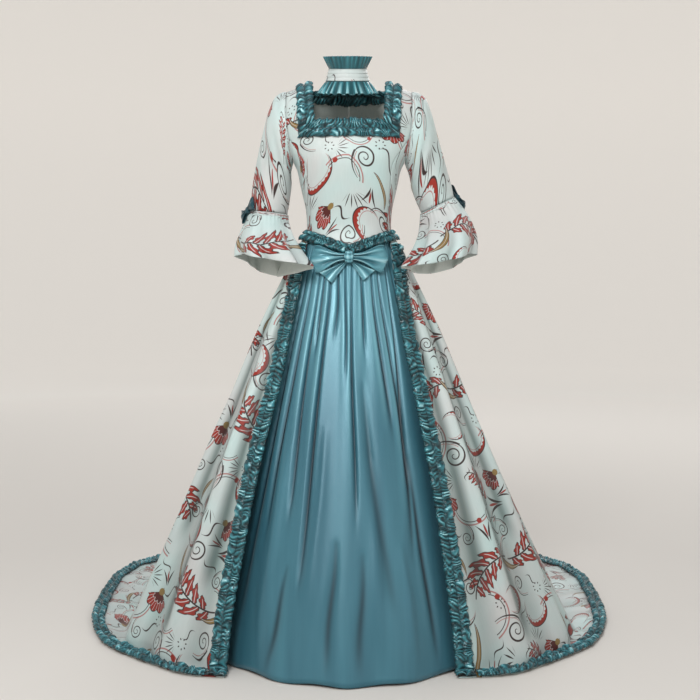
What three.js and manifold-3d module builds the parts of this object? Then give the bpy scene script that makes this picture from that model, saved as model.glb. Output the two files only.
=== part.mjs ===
// A long gown in medieval style: a square-necked bodice with a pointed waist, elbow sleeves with bell
// flounces, a satin underskirt, a printed overskirt that opens in front and spreads into a train,
// gathered satin trim, bows, and a choker to match. It keeps the hollow form of a gown that is worn.
// Millimetres and degrees. X runs to the viewer's right, Y to the back, Z up. Heights in the tables are
// above the floor, and the origin is at the height of the shoulders, midway between them.
import * as THREE from "three";
import { mergeVertices } from "three/addons/utils/BufferGeometryUtils.js";
import Module from "manifold-3d";

const wasm = await Module();
wasm.setup();

// Driving sizes
const shoulderHeight = 1450;
const clothThick = 2;
const satinThick = 1.6;
const trimThick = 1.2;
const seamGap = 0.3;
const halfGap = seamGap / 2;
const halfTurn = 180;
const quarterTurn = 90;

// The torso's outline: half widths to the side, half depths to the front and back
const torsoPower = 2.3;
const torsoRows = [
  { h: 1030, side: 128, front: 103, back: 98 },
  { h: 1072, side: 113, front: 90, back: 86 },
  { h: 1100, side: 111, front: 88, back: 84 },
  { h: 1140, side: 114, front: 97, back: 88 },
  { h: 1193, side: 126, front: 114, back: 97 },
  { h: 1240, side: 136, front: 129, back: 105 },
  { h: 1262, side: 146, front: 132, back: 107 },
  { h: 1280, side: 156, front: 131, back: 108 },
  { h: 1305, side: 168, front: 127, back: 109 },
  { h: 1352, side: 188, front: 118, back: 108 },
];

// The armhole seam: its distance from the middle at each height
const armholeLow = 1262;
const armholeHigh = 1447;
const armholeRows = [
  { h: 1262, x: 145.8 },
  { h: 1275, x: 148 },
  { h: 1305, x: 154 },
  { h: 1340, x: 161 },
  { h: 1380, x: 164 },
  { h: 1447, x: 164 },
];

// The waist seam dips to a point in front
const waistHeight = 1072;
const waistPoint = 1032;
const waistPointReach = 107;

// The straps and the neckline
const yokeHeight = 1352;
const yokeGirth = 150;
const yokeSide = 188;
const shoulderY = 5;
const strapInner = 95;
const neckInnerTop = 95;
const neckInnerLow = 92;
const neckInnerWaist = 60;
const strapTopInner = 1466;
const strapTopOuter = 1447;
const strapOuter = 164;
const backNeckHeight = 1442;

// Where the curved seams run, in degrees round from the front
const seamMeetHeight = 1320;
const seamRows = [
  { h: 1072, front: 70, back: 112 },
  { h: 1166, front: 60, back: 114 },
  { h: 1259, front: 51, back: 118 },
];

const tau = Math.PI * 2;
const radians = (degrees) => (degrees * Math.PI) / halfTurn;
const sine = (degrees) => Math.sin(radians(degrees));
const cosine = (degrees) => Math.cos(radians(degrees));
const at = (x, y, z) => new THREE.Vector3(x, y, z);
const mix = (a, b, share) => a + (b - a) * share;
const limit = (value, low, high) => Math.min(Math.max(value, low), high);
const ease = (value) => {
  const s = limit(value, 0, 1);
  return s * s * (3 - 2 * s);
};
const steps = (from, to, count) =>
  Array.from({ length: count + 1 }, (_, i) => mix(from, to, i / count));

// One column of a table, read smoothly between its rows and straight on past its ends.
function read(rows, key, value, column) {
  const last = rows.length - 1;
  const slopeAt = (k) => {
    const a = rows[Math.max(k - 1, 0)];
    const b = rows[Math.min(k + 1, last)];
    return (b[column] - a[column]) / (b[key] - a[key]);
  };
  if (value <= rows[0][key]) return rows[0][column] + slopeAt(0) * (value - rows[0][key]);
  if (value >= rows[last][key]) {
    return rows[last][column] + slopeAt(last) * (value - rows[last][key]);
  }
  let i = 0;
  while (value > rows[i + 1][key]) i += 1;
  const a = rows[i];
  const b = rows[i + 1];
  const width = b[key] - a[key];
  const s = (value - a[key]) / width;
  const bend = s * (1 - s);
  const straight = mix(a[column], b[column], s);
  const rise = b[column] - a[column];
  return straight + bend * ((1 - s) * (slopeAt(i) * width - rise) - s * (slopeAt(i + 1) * width - rise));
}

// A closed mesh from points and triangles, turned so that its faces point out.
function closed(points, triangles) {
  const corner = new THREE.Vector3();
  let volume = 0;
  for (const [a, b, c] of triangles) {
    volume += corner.crossVectors(points[b], points[c]).dot(points[a]);
  }
  const faces = volume < 0 ? triangles.map(([a, b, c]) => [a, c, b]) : triangles;
  const geometry = new THREE.BufferGeometry();
  geometry.setAttribute(
    "position",
    new THREE.Float32BufferAttribute(points.flatMap((p) => [p.x, p.y, p.z]), 3),
  );
  geometry.setIndex(faces.flat());
  return geometry;
}

// Two grids of points, an outer and an inner, joined along every free edge into one closed wall.
function wallOf(outer, inner, across, loop = false, keep = () => true) {
  const down = outer.length / across;
  const cells = loop ? across : across - 1;
  const total = outer.length;
  const index = (i, j) => j * across + (i % across);
  const kept = (i, j) => {
    if (j < 0 || j >= down - 1) return false;
    if (!loop && (i < 0 || i >= cells)) return false;
    return keep((i + across) % across, j);
  };
  const triangles = [];
  const quad = (a, b, c, d) => triangles.push([a, b, c], [a, c, d]);
  for (let j = 0; j < down - 1; j += 1) {
    for (let i = 0; i < cells; i += 1) {
      if (!kept(i, j)) continue;
      const ring = [index(i, j), index(i + 1, j), index(i + 1, j + 1), index(i, j + 1)];
      const [a, b, c, d] = ring;
      const [e, f, g, k] = ring.map((one) => one + total);
      quad(a, b, c, d);
      triangles.push([e, g, f], [e, k, g]);
      if (!kept(i, j - 1)) quad(b, a, e, f);
      if (!kept(i + 1, j)) quad(c, b, f, g);
      if (!kept(i, j + 1)) quad(d, c, g, k);
      if (!kept(i - 1, j)) quad(a, d, k, e);
    }
  }
  return closed([...outer, ...inner], triangles);
}

// The outward direction of a surface at one place, from its neighbours on each side.
function outwardOf(place, u, v, du, dv, side) {
  const along = place(u + du, v).sub(place(u - du, v));
  const up = place(u, v + dv).sub(place(u, v - dv));
  return along.cross(up).normalize().multiplyScalar(side);
}

// A sheet of cloth as a closed wall: place(u, v) is its outer face, and "side" turns its outward side.
// Panels that meet at a seam share one "smooth" surface, so that their walls lean the same way there.
function sheet({ place, us, vs, thick, side = 1, loop = false, keep, smooth = place, du, dv }) {
  const outer = [];
  const inner = [];
  for (const v of vs) {
    for (const u of us) {
      const point = place(u, v);
      outer.push(point);
      inner.push(point.clone().addScaledVector(outwardOf(smooth, u, v, du, dv, side), -thick));
    }
  }
  return wallOf(outer, inner, us.length, loop, keep);
}

// A gathered strip on a surface. base(u, w) gives a point of the surface and its outward direction, w mm
// across the strip. Each wave takes a few columns, and the strip stays flat along its gather line.
const columnsPerWave = 3;
function ruffle({ base, from, to, waves, rows, lift, height, loop = false }) {
  const count = waves * columnsPerWave;
  const us = steps(from, to, count).slice(0, loop ? count : count + 1);
  const outer = [];
  const inner = [];
  for (const row of rows) {
    us.forEach((u, k) => {
      const { point, outward } = base(u, row.w);
      const turn = (k / columnsPerWave) * tau + row.phase;
      const wave = height * row.open * (0.5 + 0.5 * Math.cos(turn));
      outer.push(point.clone().addScaledVector(outward, lift + trimThick + wave));
      inner.push(point.clone().addScaledVector(outward, lift + wave));
    });
  }
  return wallOf(outer, inner, us.length, loop);
}

// The other hand of a geometry.
function mirrored(geometry) {
  const copy = geometry.clone().scale(-1, 1, 1);
  const index = copy.index.array;
  for (let i = 0; i < index.length; i += 3) {
    [index[i + 1], index[i + 2]] = [index[i + 2], index[i + 1]];
  }
  return copy;
}

// One solid from several closed geometries that run into each other.
function joined(geometries) {
  const solids = geometries.map((geometry) => {
    const bare = new THREE.BufferGeometry();
    bare.setAttribute("position", geometry.getAttribute("position"));
    bare.setIndex(geometry.index);
    const merged = mergeVertices(bare, 1e-4);
    const vertProperties = merged.getAttribute("position").array;
    const triVerts = new Uint32Array(merged.index.array);
    return new wasm.Manifold(new wasm.Mesh({ numProp: 3, vertProperties, triVerts }));
  });
  const whole = solids.reduce((a, b) => a.add(b)).getMesh();
  const geometry = new THREE.BufferGeometry();
  geometry.setAttribute("position", new THREE.BufferAttribute(whole.vertProperties, 3));
  geometry.setIndex(new THREE.BufferAttribute(whole.triVerts, 1));
  return geometry;
}

// Materials
const finishes = {
  print: { color: 0xcfe0dd, roughness: 0.6, metalness: 0 },
  satin: { color: 0x4d8293, roughness: 0.32, metalness: 0 },
  trim: { color: 0x1f6f78, roughness: 0.35, metalness: 0 },
  bow: { color: 0x6fb0bf, roughness: 0.3, metalness: 0 },
  darkBow: { color: 0x0f3a44, roughness: 0.35, metalness: 0 },
};
const gown = new THREE.Group();
gown.position.z = -shoulderHeight;
function add(name, geometry, finish) {
  const mesh = new THREE.Mesh(geometry, new THREE.MeshStandardMaterial(finishes[finish]));
  mesh.name = name;
  gown.add(mesh);
}

// A signed power, which squares an oval's shoulders a little.
const rounded = (value, power) => Math.sign(value) * Math.abs(value) ** (2 / power);
const flatness = (share, power) => (1 - Math.abs(share) ** power) ** (1 / power);

// A place on an oval of its own half width and half depths, turned from the front to the viewer's right.
function oval(turn, side, front, back, power) {
  const depth = cosine(turn) > 0 ? front : back;
  return [side * rounded(sine(turn), power), -depth * rounded(cosine(turn), power)];
}

function torso(turn, h) {
  const [x, y] = oval(
    turn,
    read(torsoRows, "h", h, "side"),
    read(torsoRows, "h", h, "front"),
    read(torsoRows, "h", h, "back"),
    torsoPower,
  );
  return at(x, y, h);
}

function torsoAcross(x, h, face) {
  const share = x / read(torsoRows, "h", h, "side");
  const depth = read(torsoRows, "h", h, face) * flatness(share, torsoPower);
  return at(x, face === "front" ? -depth : depth, h);
}

const shoulderTop = (x) => {
  const share = (Math.abs(x) - strapInner) / (strapOuter - strapInner);
  return mix(strapTopInner, strapTopOuter, share);
};

// The chest, the straps over the shoulders and the upper back as one surface: g is the height up to the
// neckline's level, and from there it runs on over the shoulder and down the back.
const shoulderGirth = yokeHeight + yokeGirth;
function yoke(x, g) {
  if (g <= yokeHeight) return torsoAcross(x, g, "front");
  if (g >= shoulderGirth + yokeGirth) {
    return torsoAcross(x, shoulderGirth + yokeGirth + yokeHeight - g, "back");
  }
  const turn = ((shoulderGirth - g) / yokeGirth) * quarterTurn;
  const face = turn > 0 ? "front" : "back";
  const share = x / yokeSide;
  const depth = read(torsoRows, "h", yokeHeight, face) * flatness(share, torsoPower);
  const reach = face === "front" ? depth + shoulderY : depth - shoulderY;
  const z = mix(yokeHeight, shoulderTop(x), cosine(turn));
  return at(x, shoulderY - reach * sine(turn), z);
}
const backHeight = (h) => shoulderGirth + yokeGirth + yokeHeight - h;

const armholeX = (h) => (h > armholeHigh ? strapOuter : read(armholeRows, "h", h, "x"));
const waistSeam = (x) => {
  const share = limit(Math.abs(x) / waistPointReach, 0, 1);
  return mix(waistPoint, waistHeight, share);
};
const seamMeetTurn = (() => {
  const share = armholeX(seamMeetHeight) / read(torsoRows, "h", seamMeetHeight, "side");
  return (Math.asin(share ** (torsoPower / 2)) * halfTurn) / Math.PI;
})();
seamRows.push({ h: seamMeetHeight, front: seamMeetTurn, back: halfTurn - seamMeetTurn });
const seamTurn = (h, face) => read(seamRows, "h", Math.min(h, seamMeetHeight), face);
const seamX = (h, face) => (h >= seamMeetHeight ? armholeX(h) : torso(seamTurn(h, face), h).x) - halfGap;

// Bodice front: the neckline is cut out along the grid's own lines.
const neckShare = 0.6;
function frontX(c, g) {
  const h = g > yokeHeight ? yoke(strapOuter, g).z : g;
  const neck =
    g > yokeHeight
      ? mix(neckInnerLow, neckInnerTop, (g - yokeHeight) / yokeGirth)
      : mix(neckInnerWaist, neckInnerLow, (g - waistHeight) / (yokeHeight - waistHeight));
  const edge = seamX(h, "front");
  const size = Math.abs(c);
  const beyond = (size - neckShare) / (1 - neckShare);
  return Math.sign(c) * (size <= neckShare ? (size / neckShare) * neck : mix(neck, edge, beyond));
}
const betweenRows = (rows, share, v) => {
  const i = limit(Math.floor(v), 0, rows.length - 2);
  return mix(rows[i](share), rows[i + 1](share), v - i);
};
const frontFoot = (c) => {
  let h = waistHeight;
  for (let k = 0; k < 8; k += 1) h = waistSeam(frontX(c, h));
  return h;
};
const seamLevels = [1105, 1145, 1185, 1225, 1262, 1290, seamMeetHeight];
const strapLevels = [1382, 1412, 1442, 1472];
const frontRows = [
  frontFoot,
  ...[...seamLevels, yokeHeight, ...strapLevels].map((g) => () => g),
  () => shoulderGirth - halfGap,
];
const neckRow = seamLevels.length + 1;
const strapColumns = 2;
const frontColumns = steps(-1, 1, 10);
add(
  "bodice_front",
  sheet({
    place: (c, v) => {
      const g = betweenRows(frontRows, c, v);
      return yoke(frontX(c, g), g);
    },
    us: frontColumns,
    vs: frontRows.map((_, i) => i),
    thick: clothThick,
    keep: (i, j) => j < neckRow || i < strapColumns || i >= frontColumns.length - 1 - strapColumns,
    du: 0.002,
    dv: 0.01,
  }),
  "print",
);

// Bodice sides, from the curved front seam to the side-back seam, up to the armhole.
const armholeOver = (u) => {
  let low = armholeLow - 8;
  let high = seamMeetHeight + 10;
  for (let k = 0; k < 40; k += 1) {
    const h = (low + high) / 2;
    const turn = mix(seamTurn(h, "front"), seamTurn(h, "back"), u);
    if (torso(turn, h).x < armholeX(h)) low = h;
    else high = h;
  }
  return low;
};
const sideColumns = steps(0, 1, 4);
const sidePlace = (u, v) => {
  const h = mix(waistHeight, armholeOver(limit(u, 0, 1)), v);
  const gap = (halfGap / torso(quarterTurn, h).x) * (halfTurn / Math.PI);
  return torso(mix(seamTurn(h, "front") + gap, seamTurn(h, "back") - gap, u), h);
};
const sidePanel = sheet({
  place: sidePlace,
  us: sideColumns,
  vs: [waistHeight, ...seamLevels].map((h) => (h - waistHeight) / (seamMeetHeight - waistHeight)),
  thick: clothThick,
  du: 0.002,
  dv: 0.002,
});
add("bodice_side_right", sidePanel, "print");
add("bodice_side_left", mirrored(sidePanel), "print");

// Bodice back: two halves with a seam down the middle and a level neckline.
const backNeckGirth = (x) => {
  const share = (backNeckHeight - yokeHeight) / (shoulderTop(x) - yokeHeight);
  return shoulderGirth + (Math.acos(share) / (Math.PI / 2)) * yokeGirth;
};
function backX(c, g) {
  const h = g > shoulderGirth + yokeGirth ? backHeight(g) : yokeHeight;
  const onStrap = g <= shoulderGirth + yokeGirth;
  const edge = seamX(onStrap ? yoke(strapOuter, g).z : h, "back");
  const neck = mix(neckInnerWaist, neckInnerTop, (h - waistHeight) / (yokeHeight - waistHeight));
  const x = c <= neckShare ? (c / neckShare) * neck : mix(neck, edge, (c - neckShare) / (1 - neckShare));
  return x + halfGap * (1 - c);
}
const backNeck = (c) => backNeckGirth(limit((c / neckShare) * strapInner, 0, strapInner));
const yokeFoot = shoulderGirth + yokeGirth;
const backRows = [
  () => shoulderGirth + halfGap,
  (c) => mix(shoulderGirth, backNeck(c), 0.5),
  backNeck,
  (c) => mix(backNeck(c), yokeFoot, 0.5),
  () => yokeFoot,
  ...[waistHeight, ...seamLevels].reverse().map((h) => () => backHeight(h)),
];
const backNeckRow = backRows.indexOf(backNeck);
const backPanel = sheet({
  place: (c, v) => {
    const g = betweenRows(backRows, c, v);
    return yoke(backX(c, g), g);
  },
  us: steps(0, 1, 5),
  vs: backRows.map((_, i) => i),
  thick: clothThick,
  keep: (i, j) => j >= backNeckRow || i >= 3,
  du: 0.002,
  dv: 0.01,
});
add("bodice_back_right", backPanel, "print");
add("bodice_back_left", mirrored(backPanel), "print");

// Sleeves: each ring spans from an outer to an inner point, and the first one is the armhole itself.
const sleeveRight = [
  { ring: 0, outerX: 164, outerH: 1447, innerX: 146, innerH: 1262, depth: 66, y: 3 },
  { ring: 1, outerX: 184, outerH: 1443, innerX: 150, innerH: 1252, depth: 68, y: 3 },
  { ring: 2, outerX: 203, outerH: 1427, innerX: 154, innerH: 1240, depth: 68, y: 3 },
  { ring: 3, outerX: 219, outerH: 1385, innerX: 158, innerH: 1227, depth: 66, y: 3 },
  { ring: 4, outerX: 237, outerH: 1320, innerX: 162, innerH: 1212, depth: 62, y: 5 },
  { ring: 5, outerX: 258, outerH: 1250, innerX: 166, innerH: 1190, depth: 57, y: 8 },
  { ring: 6, outerX: 279, outerH: 1173, innerX: 190, innerH: 1131, depth: 51, y: 14 },
];
const sleeveLeft = [
  { ring: 0, outerX: 164, outerH: 1447, innerX: 146, innerH: 1262, depth: 66, y: 3 },
  { ring: 1, outerX: 180, outerH: 1443, innerX: 149, innerH: 1252, depth: 68, y: 3 },
  { ring: 2, outerX: 197, outerH: 1428, innerX: 151, innerH: 1240, depth: 68, y: 3 },
  { ring: 3, outerX: 214, outerH: 1387, innerX: 151, innerH: 1227, depth: 66, y: 3 },
  { ring: 4, outerX: 231, outerH: 1322, innerX: 151, innerH: 1208, depth: 62, y: 5 },
  { ring: 5, outerX: 248, outerH: 1245, innerX: 154, innerH: 1180, depth: 57, y: 8 },
  { ring: 6, outerX: 264, outerH: 1138, innerX: 162, innerH: 1128, depth: 53, y: 14 },
];
function armhole(turn) {
  const h = mix(armholeLow, armholeHigh, 0.5 + 0.5 * cosine(turn));
  const x = armholeX(h);
  const front = sine(turn) > 0;
  if (h < yokeHeight) return torsoAcross(x, h, front ? "front" : "back");
  const rise = limit((h - yokeHeight) / (shoulderTop(x) - yokeHeight), 0, 1);
  const girth = (Math.acos(rise) / (Math.PI / 2)) * yokeGirth;
  return yoke(x, shoulderGirth + (front ? -girth : girth));
}
function armRing(rows, turn, v) {
  const cell = (column) => read(rows, "ring", v, column);
  const middleX = (cell("outerX") + cell("innerX")) / 2;
  const middleH = (cell("outerH") + cell("innerH")) / 2;
  const x = middleX + ((cell("outerX") - cell("innerX")) / 2) * cosine(turn);
  const h = middleH + ((cell("outerH") - cell("innerH")) / 2) * cosine(turn);
  return at(x, cell("y") - cell("depth") * sine(turn), h);
}
const armholeTurn = (h) => {
  const share = (2 * (h - armholeLow)) / (armholeHigh - armholeLow) - 1;
  return (Math.acos(limit(share, -1, 1)) * halfTurn) / Math.PI;
};
const underArm = sideColumns.map((u) => armholeOver(u));
const armTurns = [
  0,
  ...[...strapLevels].reverse().map((g) => armholeTurn(yoke(strapOuter, g).z)),
  armholeTurn(yokeHeight),
  ...underArm.slice(0, 2).map(armholeTurn),
  halfTurn,
  ...underArm.slice(3).map((h) => 2 * halfTurn - armholeTurn(h)),
  2 * halfTurn - armholeTurn(yokeHeight),
  ...[3, 2, 1].map((row) => 2 * halfTurn - armholeTurn(yoke(strapOuter, backRows[row](1)).z)),
];
function sleeve(rows) {
  const place = (turn, v) => {
    const point = armRing(rows, turn, v);
    const hold = (1 - limit(v, 0, 1)) ** 2;
    const reach = armhole(turn).sub(armRing(rows, turn, 0));
    reach.x += seamGap;
    return point.addScaledVector(reach, hold);
  };
  const vs = rows.map((row) => row.ring);
  return sheet({ place, us: armTurns, vs, thick: clothThick, loop: true, du: 0.5, dv: 0.02 });
}
add("sleeve_right", sleeve(sleeveRight), "print");
add("sleeve_left", mirrored(sleeve(sleeveLeft)), "print");

// The room that the skirts, the waist frill and their trim take, which the flounces stay out of
const clearRows = [
  { h: 900, side: 222, depth: 182 },
  { h: 947, side: 199, depth: 165 },
  { h: 1007, side: 174, depth: 148 },
  { h: 1034, side: 161, depth: 136 },
  { h: 1060, side: 149, depth: 124 },
  { h: 1090, side: 141, depth: 116 },
  { h: 1112, side: 126, depth: 106 },
  { h: 1150, side: 126, depth: 106 },
];
function clearOfSkirt(point) {
  const side = read(clearRows, "h", limit(point.z, 900, 1150), "side");
  const depth = read(clearRows, "h", limit(point.z, 900, 1150), "depth");
  const share = Math.hypot(point.x / side, point.y / depth);
  if (share < 1) {
    point.x /= share;
    point.y /= share;
  }
  return point;
}

// Flounces: rings from the elbow seam to the hem. "rise" lifts the front over the back, and "saddle"
// lifts the two sides over the front and back.
const flounceRight = [
  { ring: 0, outerX: 279, outerH: 1172.4, innerX: 190, innerH: 1130.4, outerY: 14, innerY: 14,
    depth: 51, rise: 0, saddle: 0 },
  { ring: 1, outerX: 303, outerH: 1140, innerX: 187, innerH: 1106, outerY: 4, innerY: 0,
    depth: 60, rise: 0, saddle: 2 },
  { ring: 2, outerX: 320, outerH: 1104, innerX: 181, innerH: 1072, outerY: -16, innerY: -44,
    depth: 70, rise: 6, saddle: 7 },
  { ring: 3, outerX: 329, outerH: 1062, innerX: 164, innerH: 1030, outerY: -33, innerY: -98,
    depth: 78, rise: 11, saddle: 13 },
  { ring: 4, outerX: 324, outerH: 1022, innerX: 136, innerH: 988, outerY: -44, innerY: -148,
    depth: 82, rise: 14, saddle: 17 },
];
const flounceLeft = [
  { ring: 0, outerX: 264, outerH: 1137.4, innerX: 162, innerH: 1127.4, outerY: 14, innerY: 14,
    depth: 53, rise: 0, saddle: 0 },
  { ring: 1, outerX: 273, outerH: 1110, innerX: 158, innerH: 1102, outerY: 4, innerY: 0,
    depth: 61, rise: 2, saddle: 2 },
  { ring: 2, outerX: 284, outerH: 1075, innerX: 144, innerH: 1065, outerY: -18, innerY: -44,
    depth: 70, rise: 8, saddle: 7 },
  { ring: 3, outerX: 290, outerH: 1045, innerX: 122, innerH: 1028, outerY: -34, innerY: -98,
    depth: 77, rise: 15, saddle: 12 },
  { ring: 4, outerX: 288, outerH: 1018, innerX: 94, innerH: 988, outerY: -45, innerY: -150,
    depth: 81, rise: 21, saddle: 17 },
];
const flounceWaves = 6;
const flounceWaveDepth = 9;
const flounceLastRing = 4;
const flounceRound = flounceWaves * 4;
const flounceTurns = steps(0, 2 * halfTurn, flounceRound).slice(0, flounceRound);
function flounce(rows, phase) {
  const place = (turn, v) => {
    const cell = (column) => read(rows, "ring", v, column);
    const outerShare = 0.5 + 0.5 * cosine(turn);
    const open = limit(v / flounceLastRing, 0, 1) ** 1.3;
    const wave = flounceWaveDepth * open * cosine(flounceWaves * turn + phase);
    const x = mix(cell("innerX"), cell("outerX"), outerShare) + wave * cosine(turn);
    const y = mix(cell("innerY"), cell("outerY"), outerShare) - (cell("depth") + wave) * sine(turn);
    const tilt = cell("rise") * sine(turn) + cell("saddle") * (cosine(2 * turn) * 0.5 - 0.5);
    const h = mix(cell("innerH"), cell("outerH"), outerShare) + tilt;
    return clearOfSkirt(at(x, y, h));
  };
  const vs = rows.map((row) => row.ring);
  return sheet({ place, us: flounceTurns, vs, thick: clothThick, loop: true, du: 0.5, dv: 0.02 });
}
add("flounce_right", flounce(flounceRight, 40), "print");
add("flounce_left", mirrored(flounce(flounceLeft, 40)), "print");

// Underskirt: below the waist it opens from the torso's outline into a full skirt with long folds.
const underRows = [
  { h: 0, side: 365, front: 448, back: 392, power: 2 },
  { h: 200, side: 332, front: 392, back: 352, power: 2 },
  { h: 400, side: 294, front: 324, back: 302, power: 2 },
  { h: 600, side: 250, front: 256, back: 242, power: 2 },
  { h: 800, side: 199, front: 186, back: 176, power: 2 },
  { h: 900, side: 170, front: 152, back: 144, power: 2 },
  { h: 980, side: 144, front: 122, back: 118, power: 2.15 },
  { h: 1030, side: 128, front: 103, back: 98, power: 2.3 },
  { h: 1072, side: 113, front: 90, back: 86, power: 2.3 },
];
const underHem = 3;
const underFolds = 18;
const underFoldRows = [
  { h: 0, depth: 4 },
  { h: 250, depth: 6 },
  { h: 600, depth: 8 },
  { h: 880, depth: 6 },
  { h: 1000, depth: 3 },
  { h: 1035, depth: 0 },
  { h: 1072, depth: 0 },
];
function underSection(turn, h) {
  if (h >= waistPoint - 2) return torso(turn, h);
  const cell = (column) => read(underRows, "h", h, column);
  const [x, y] = oval(turn, cell("side"), cell("front"), cell("back"), cell("power"));
  return at(x, y, h);
}
function underskirt(turn, h) {
  const point = underSection(turn, h);
  const uneven = 0.75 + 0.25 * cosine(3 * turn + 50);
  const depth = Math.max(read(underFoldRows, "h", Math.min(h, waistHeight), "depth"), 0) * uneven;
  const fold = depth * cosine(underFolds * turn + 25 * sine(2 * turn));
  point.x += fold * sine(turn);
  point.y -= fold * cosine(turn);
  return point;
}
const waistAt = (turn) => {
  let h = waistHeight;
  if (cosine(turn) > 0) for (let k = 0; k < 8; k += 1) h = waistSeam(torso(turn, h).x);
  return h;
};
const underDrop = 0.45;
const underHalfGap = 0.25;
const underTop = (turn) => waistAt(turn) - underDrop;
const underSeamTurn = 96;
const underRowShares = [0, 0.045, 0.12, 0.24, 0.4, 0.6, 0.8, 1];
function underPanel(from, to, columns) {
  return sheet({
    place: (turn, v) => {
      const h = mix(underTop(turn), underHem, v);
      const gap = (underHalfGap / underSection(quarterTurn, h).x) * (halfTurn / Math.PI);
      const inward = mix(gap, -gap, (turn - from) / (to - from));
      return underskirt(turn + inward, h);
    },
    smooth: (turn, v) => underskirt(turn, mix(underTop(turn), underHem, v)),
    us: steps(from, to, columns),
    vs: underRowShares,
    thick: satinThick,
    side: -1,
    du: 0.2,
    dv: 0.001,
  });
}
add("underskirt_front", underPanel(-underSeamTurn, underSeamTurn, 38), "satin");
add("underskirt_back", underPanel(underSeamTurn, 2 * halfTurn - underSeamTurn, 18), "satin");

// Overskirt: it hangs from the waist to the floor and lies on past it, furthest at the back.
const overStart = 2.3;
const overRows = [
  { h: 30, side: 590, front: 378, back: 632 },
  { h: 218, side: 500, front: 341, back: 545 },
  { h: 371, side: 430, front: 307, back: 480 },
  { h: 578, side: 341, front: 254, back: 390 },
  { h: 817, side: 242, front: 181, back: 258 },
  { h: 901, side: 202, front: 160, back: 208 },
  { h: 960, side: 172, front: 140, back: 168 },
  { h: 1007, side: 152, front: 124, back: 138 },
  { h: 1034, side: 140, front: 113, back: 121 },
  { h: 1072, side: 113 + overStart, front: 90 + overStart, back: 86 + overStart },
];
const overPowerRows = [
  { h: 30, power: 2 },
  { h: 900, power: 2 },
  { h: 1072, power: 2.3 },
];
const overEdgeRows = [
  { h: 30, right: 260, left: 298 },
  { h: 150, right: 248, left: 285 },
  { h: 286, right: 230, left: 261 },
  { h: 398, right: 214, left: 242 },
  { h: 516, right: 194, left: 218 },
  { h: 610, right: 176, left: 195 },
  { h: 707, right: 158, left: 171 },
  { h: 817, right: 135, left: 150 },
  { h: 900, right: 124, left: 134 },
  { h: 1007, right: 112, left: 115 },
  { h: 1072, right: 107, left: 107 },
];
const hemRows = [
  { turn: 35, reach: 452 },
  { turn: 40, reach: 476 },
  { turn: 50, reach: 526 },
  { turn: 60, reach: 551 },
  { turn: 70, reach: 586 },
  { turn: 80, reach: 636 },
  { turn: 90, reach: 676 },
  { turn: 100, reach: 721 },
  { turn: 110, reach: 776 },
  { turn: 120, reach: 856 },
  { turn: 130, reach: 960 },
  { turn: 140, reach: 1065 },
  { turn: 150, reach: 1145 },
  { turn: 160, reach: 1185 },
  { turn: 170, reach: 1197 },
  { turn: 180, reach: 1200 },
];
const hemStart = { right: 35.5, left: 39.5 };
const overTop = waistHeight - seamGap;
const overLow = 30;
const floorLie = 3;
const floorTurn = 0.18;
const overFolds = 6.5;
const overFoldRows = [
  { h: 0, depth: 11 },
  { h: 200, depth: 13 },
  { h: 600, depth: 9 },
  { h: 960, depth: 4.5 },
  { h: 1034, depth: 1.6 },
  { h: 1056, depth: 0 },
  { h: 1072, depth: 0 },
];
const trainFolds = 5;
const trainFoldHeight = 44;

function overHang(hand, s, h) {
  const power = read(overPowerRows, "h", h, "power");
  const side = read(overRows, "h", h, "side");
  const share = read(overEdgeRows, "h", h, hand) / side;
  const edge = (Math.asin(share ** (power / 2)) * halfTurn) / Math.PI;
  const turn = mix(edge, halfTurn, s);
  const front = read(overRows, "h", h, "front");
  const back = read(overRows, "h", h, "back");
  const depthRound = turn < quarterTurn ? front : back;
  const x = side * rounded(sine(turn), power);
  const y = -depthRound * rounded(cosine(turn), power);
  const depth = Math.max(read(overFoldRows, "h", Math.min(h, waistHeight), "depth"), 0);
  const place = s > 1 ? 2 - s : s;
  const fold = depth * ease(place / 0.08) * Math.cos(tau * overFolds * place + 0.8 * Math.sin(5 * place));
  return at(x + fold * sine(turn), y - fold * cosine(turn), h);
}
// v runs down the hanging cloth from 0 to 1 and on over the floor from 1 to 2.
function overskirt(hand, s, v) {
  if (v <= 1) return overHang(hand, s, mix(overTop, overLow, v));
  const q = v - 1;
  const foot = overHang(hand, s, overLow);
  const turn = mix(hemStart[hand], halfTurn, s);
  const reach = read(hemRows, "turn", Math.min(turn, halfTurn), "reach");
  const rest = 1 - limit(q / floorTurn, 0, 1);
  const place = s > 1 ? 2 - s : s;
  const buckle = 0.5 - 0.5 * Math.cos(tau * trainFolds * place + 1);
  const lift = trainFoldHeight * ease((place - 0.3) / 0.3) * buckle * Math.max(q * (1.2 - q), 0) * 0.9;
  const z = floorLie + (overLow - floorLie) * rest * rest + lift;
  return at(mix(foot.x, reach * sine(turn), q), mix(foot.y, -reach * cosine(turn), q), z);
}
const overSeam = 0.42;
const floorHalfGap = 0.3;
const overLevels = [0, 0.04, 0.12, 0.26, 0.46, 0.68, 0.87, 1, 1.07, 1.18, 1.45, 1.74, 2];
const frontGore = { from: 0, to: overSeam, columns: 12 };
const backGore = { from: overSeam, to: 1, columns: 16 };
const gorePlace = (hand, gore) => (s, v) => {
  const along = overskirt(hand, s + 0.001, v).sub(overskirt(hand, s - 0.001, v));
  const down = overskirt(hand, s, v + 0.001).sub(overskirt(hand, s, v - 0.001));
  const across = along.cross(down).length() / down.length() / 0.002;
  const gap = (v < 1 ? halfGap : floorHalfGap) / across;
  return overskirt(hand, s + mix(gap, -gap, (s - gore.from) / (gore.to - gore.from)), v);
};
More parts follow.
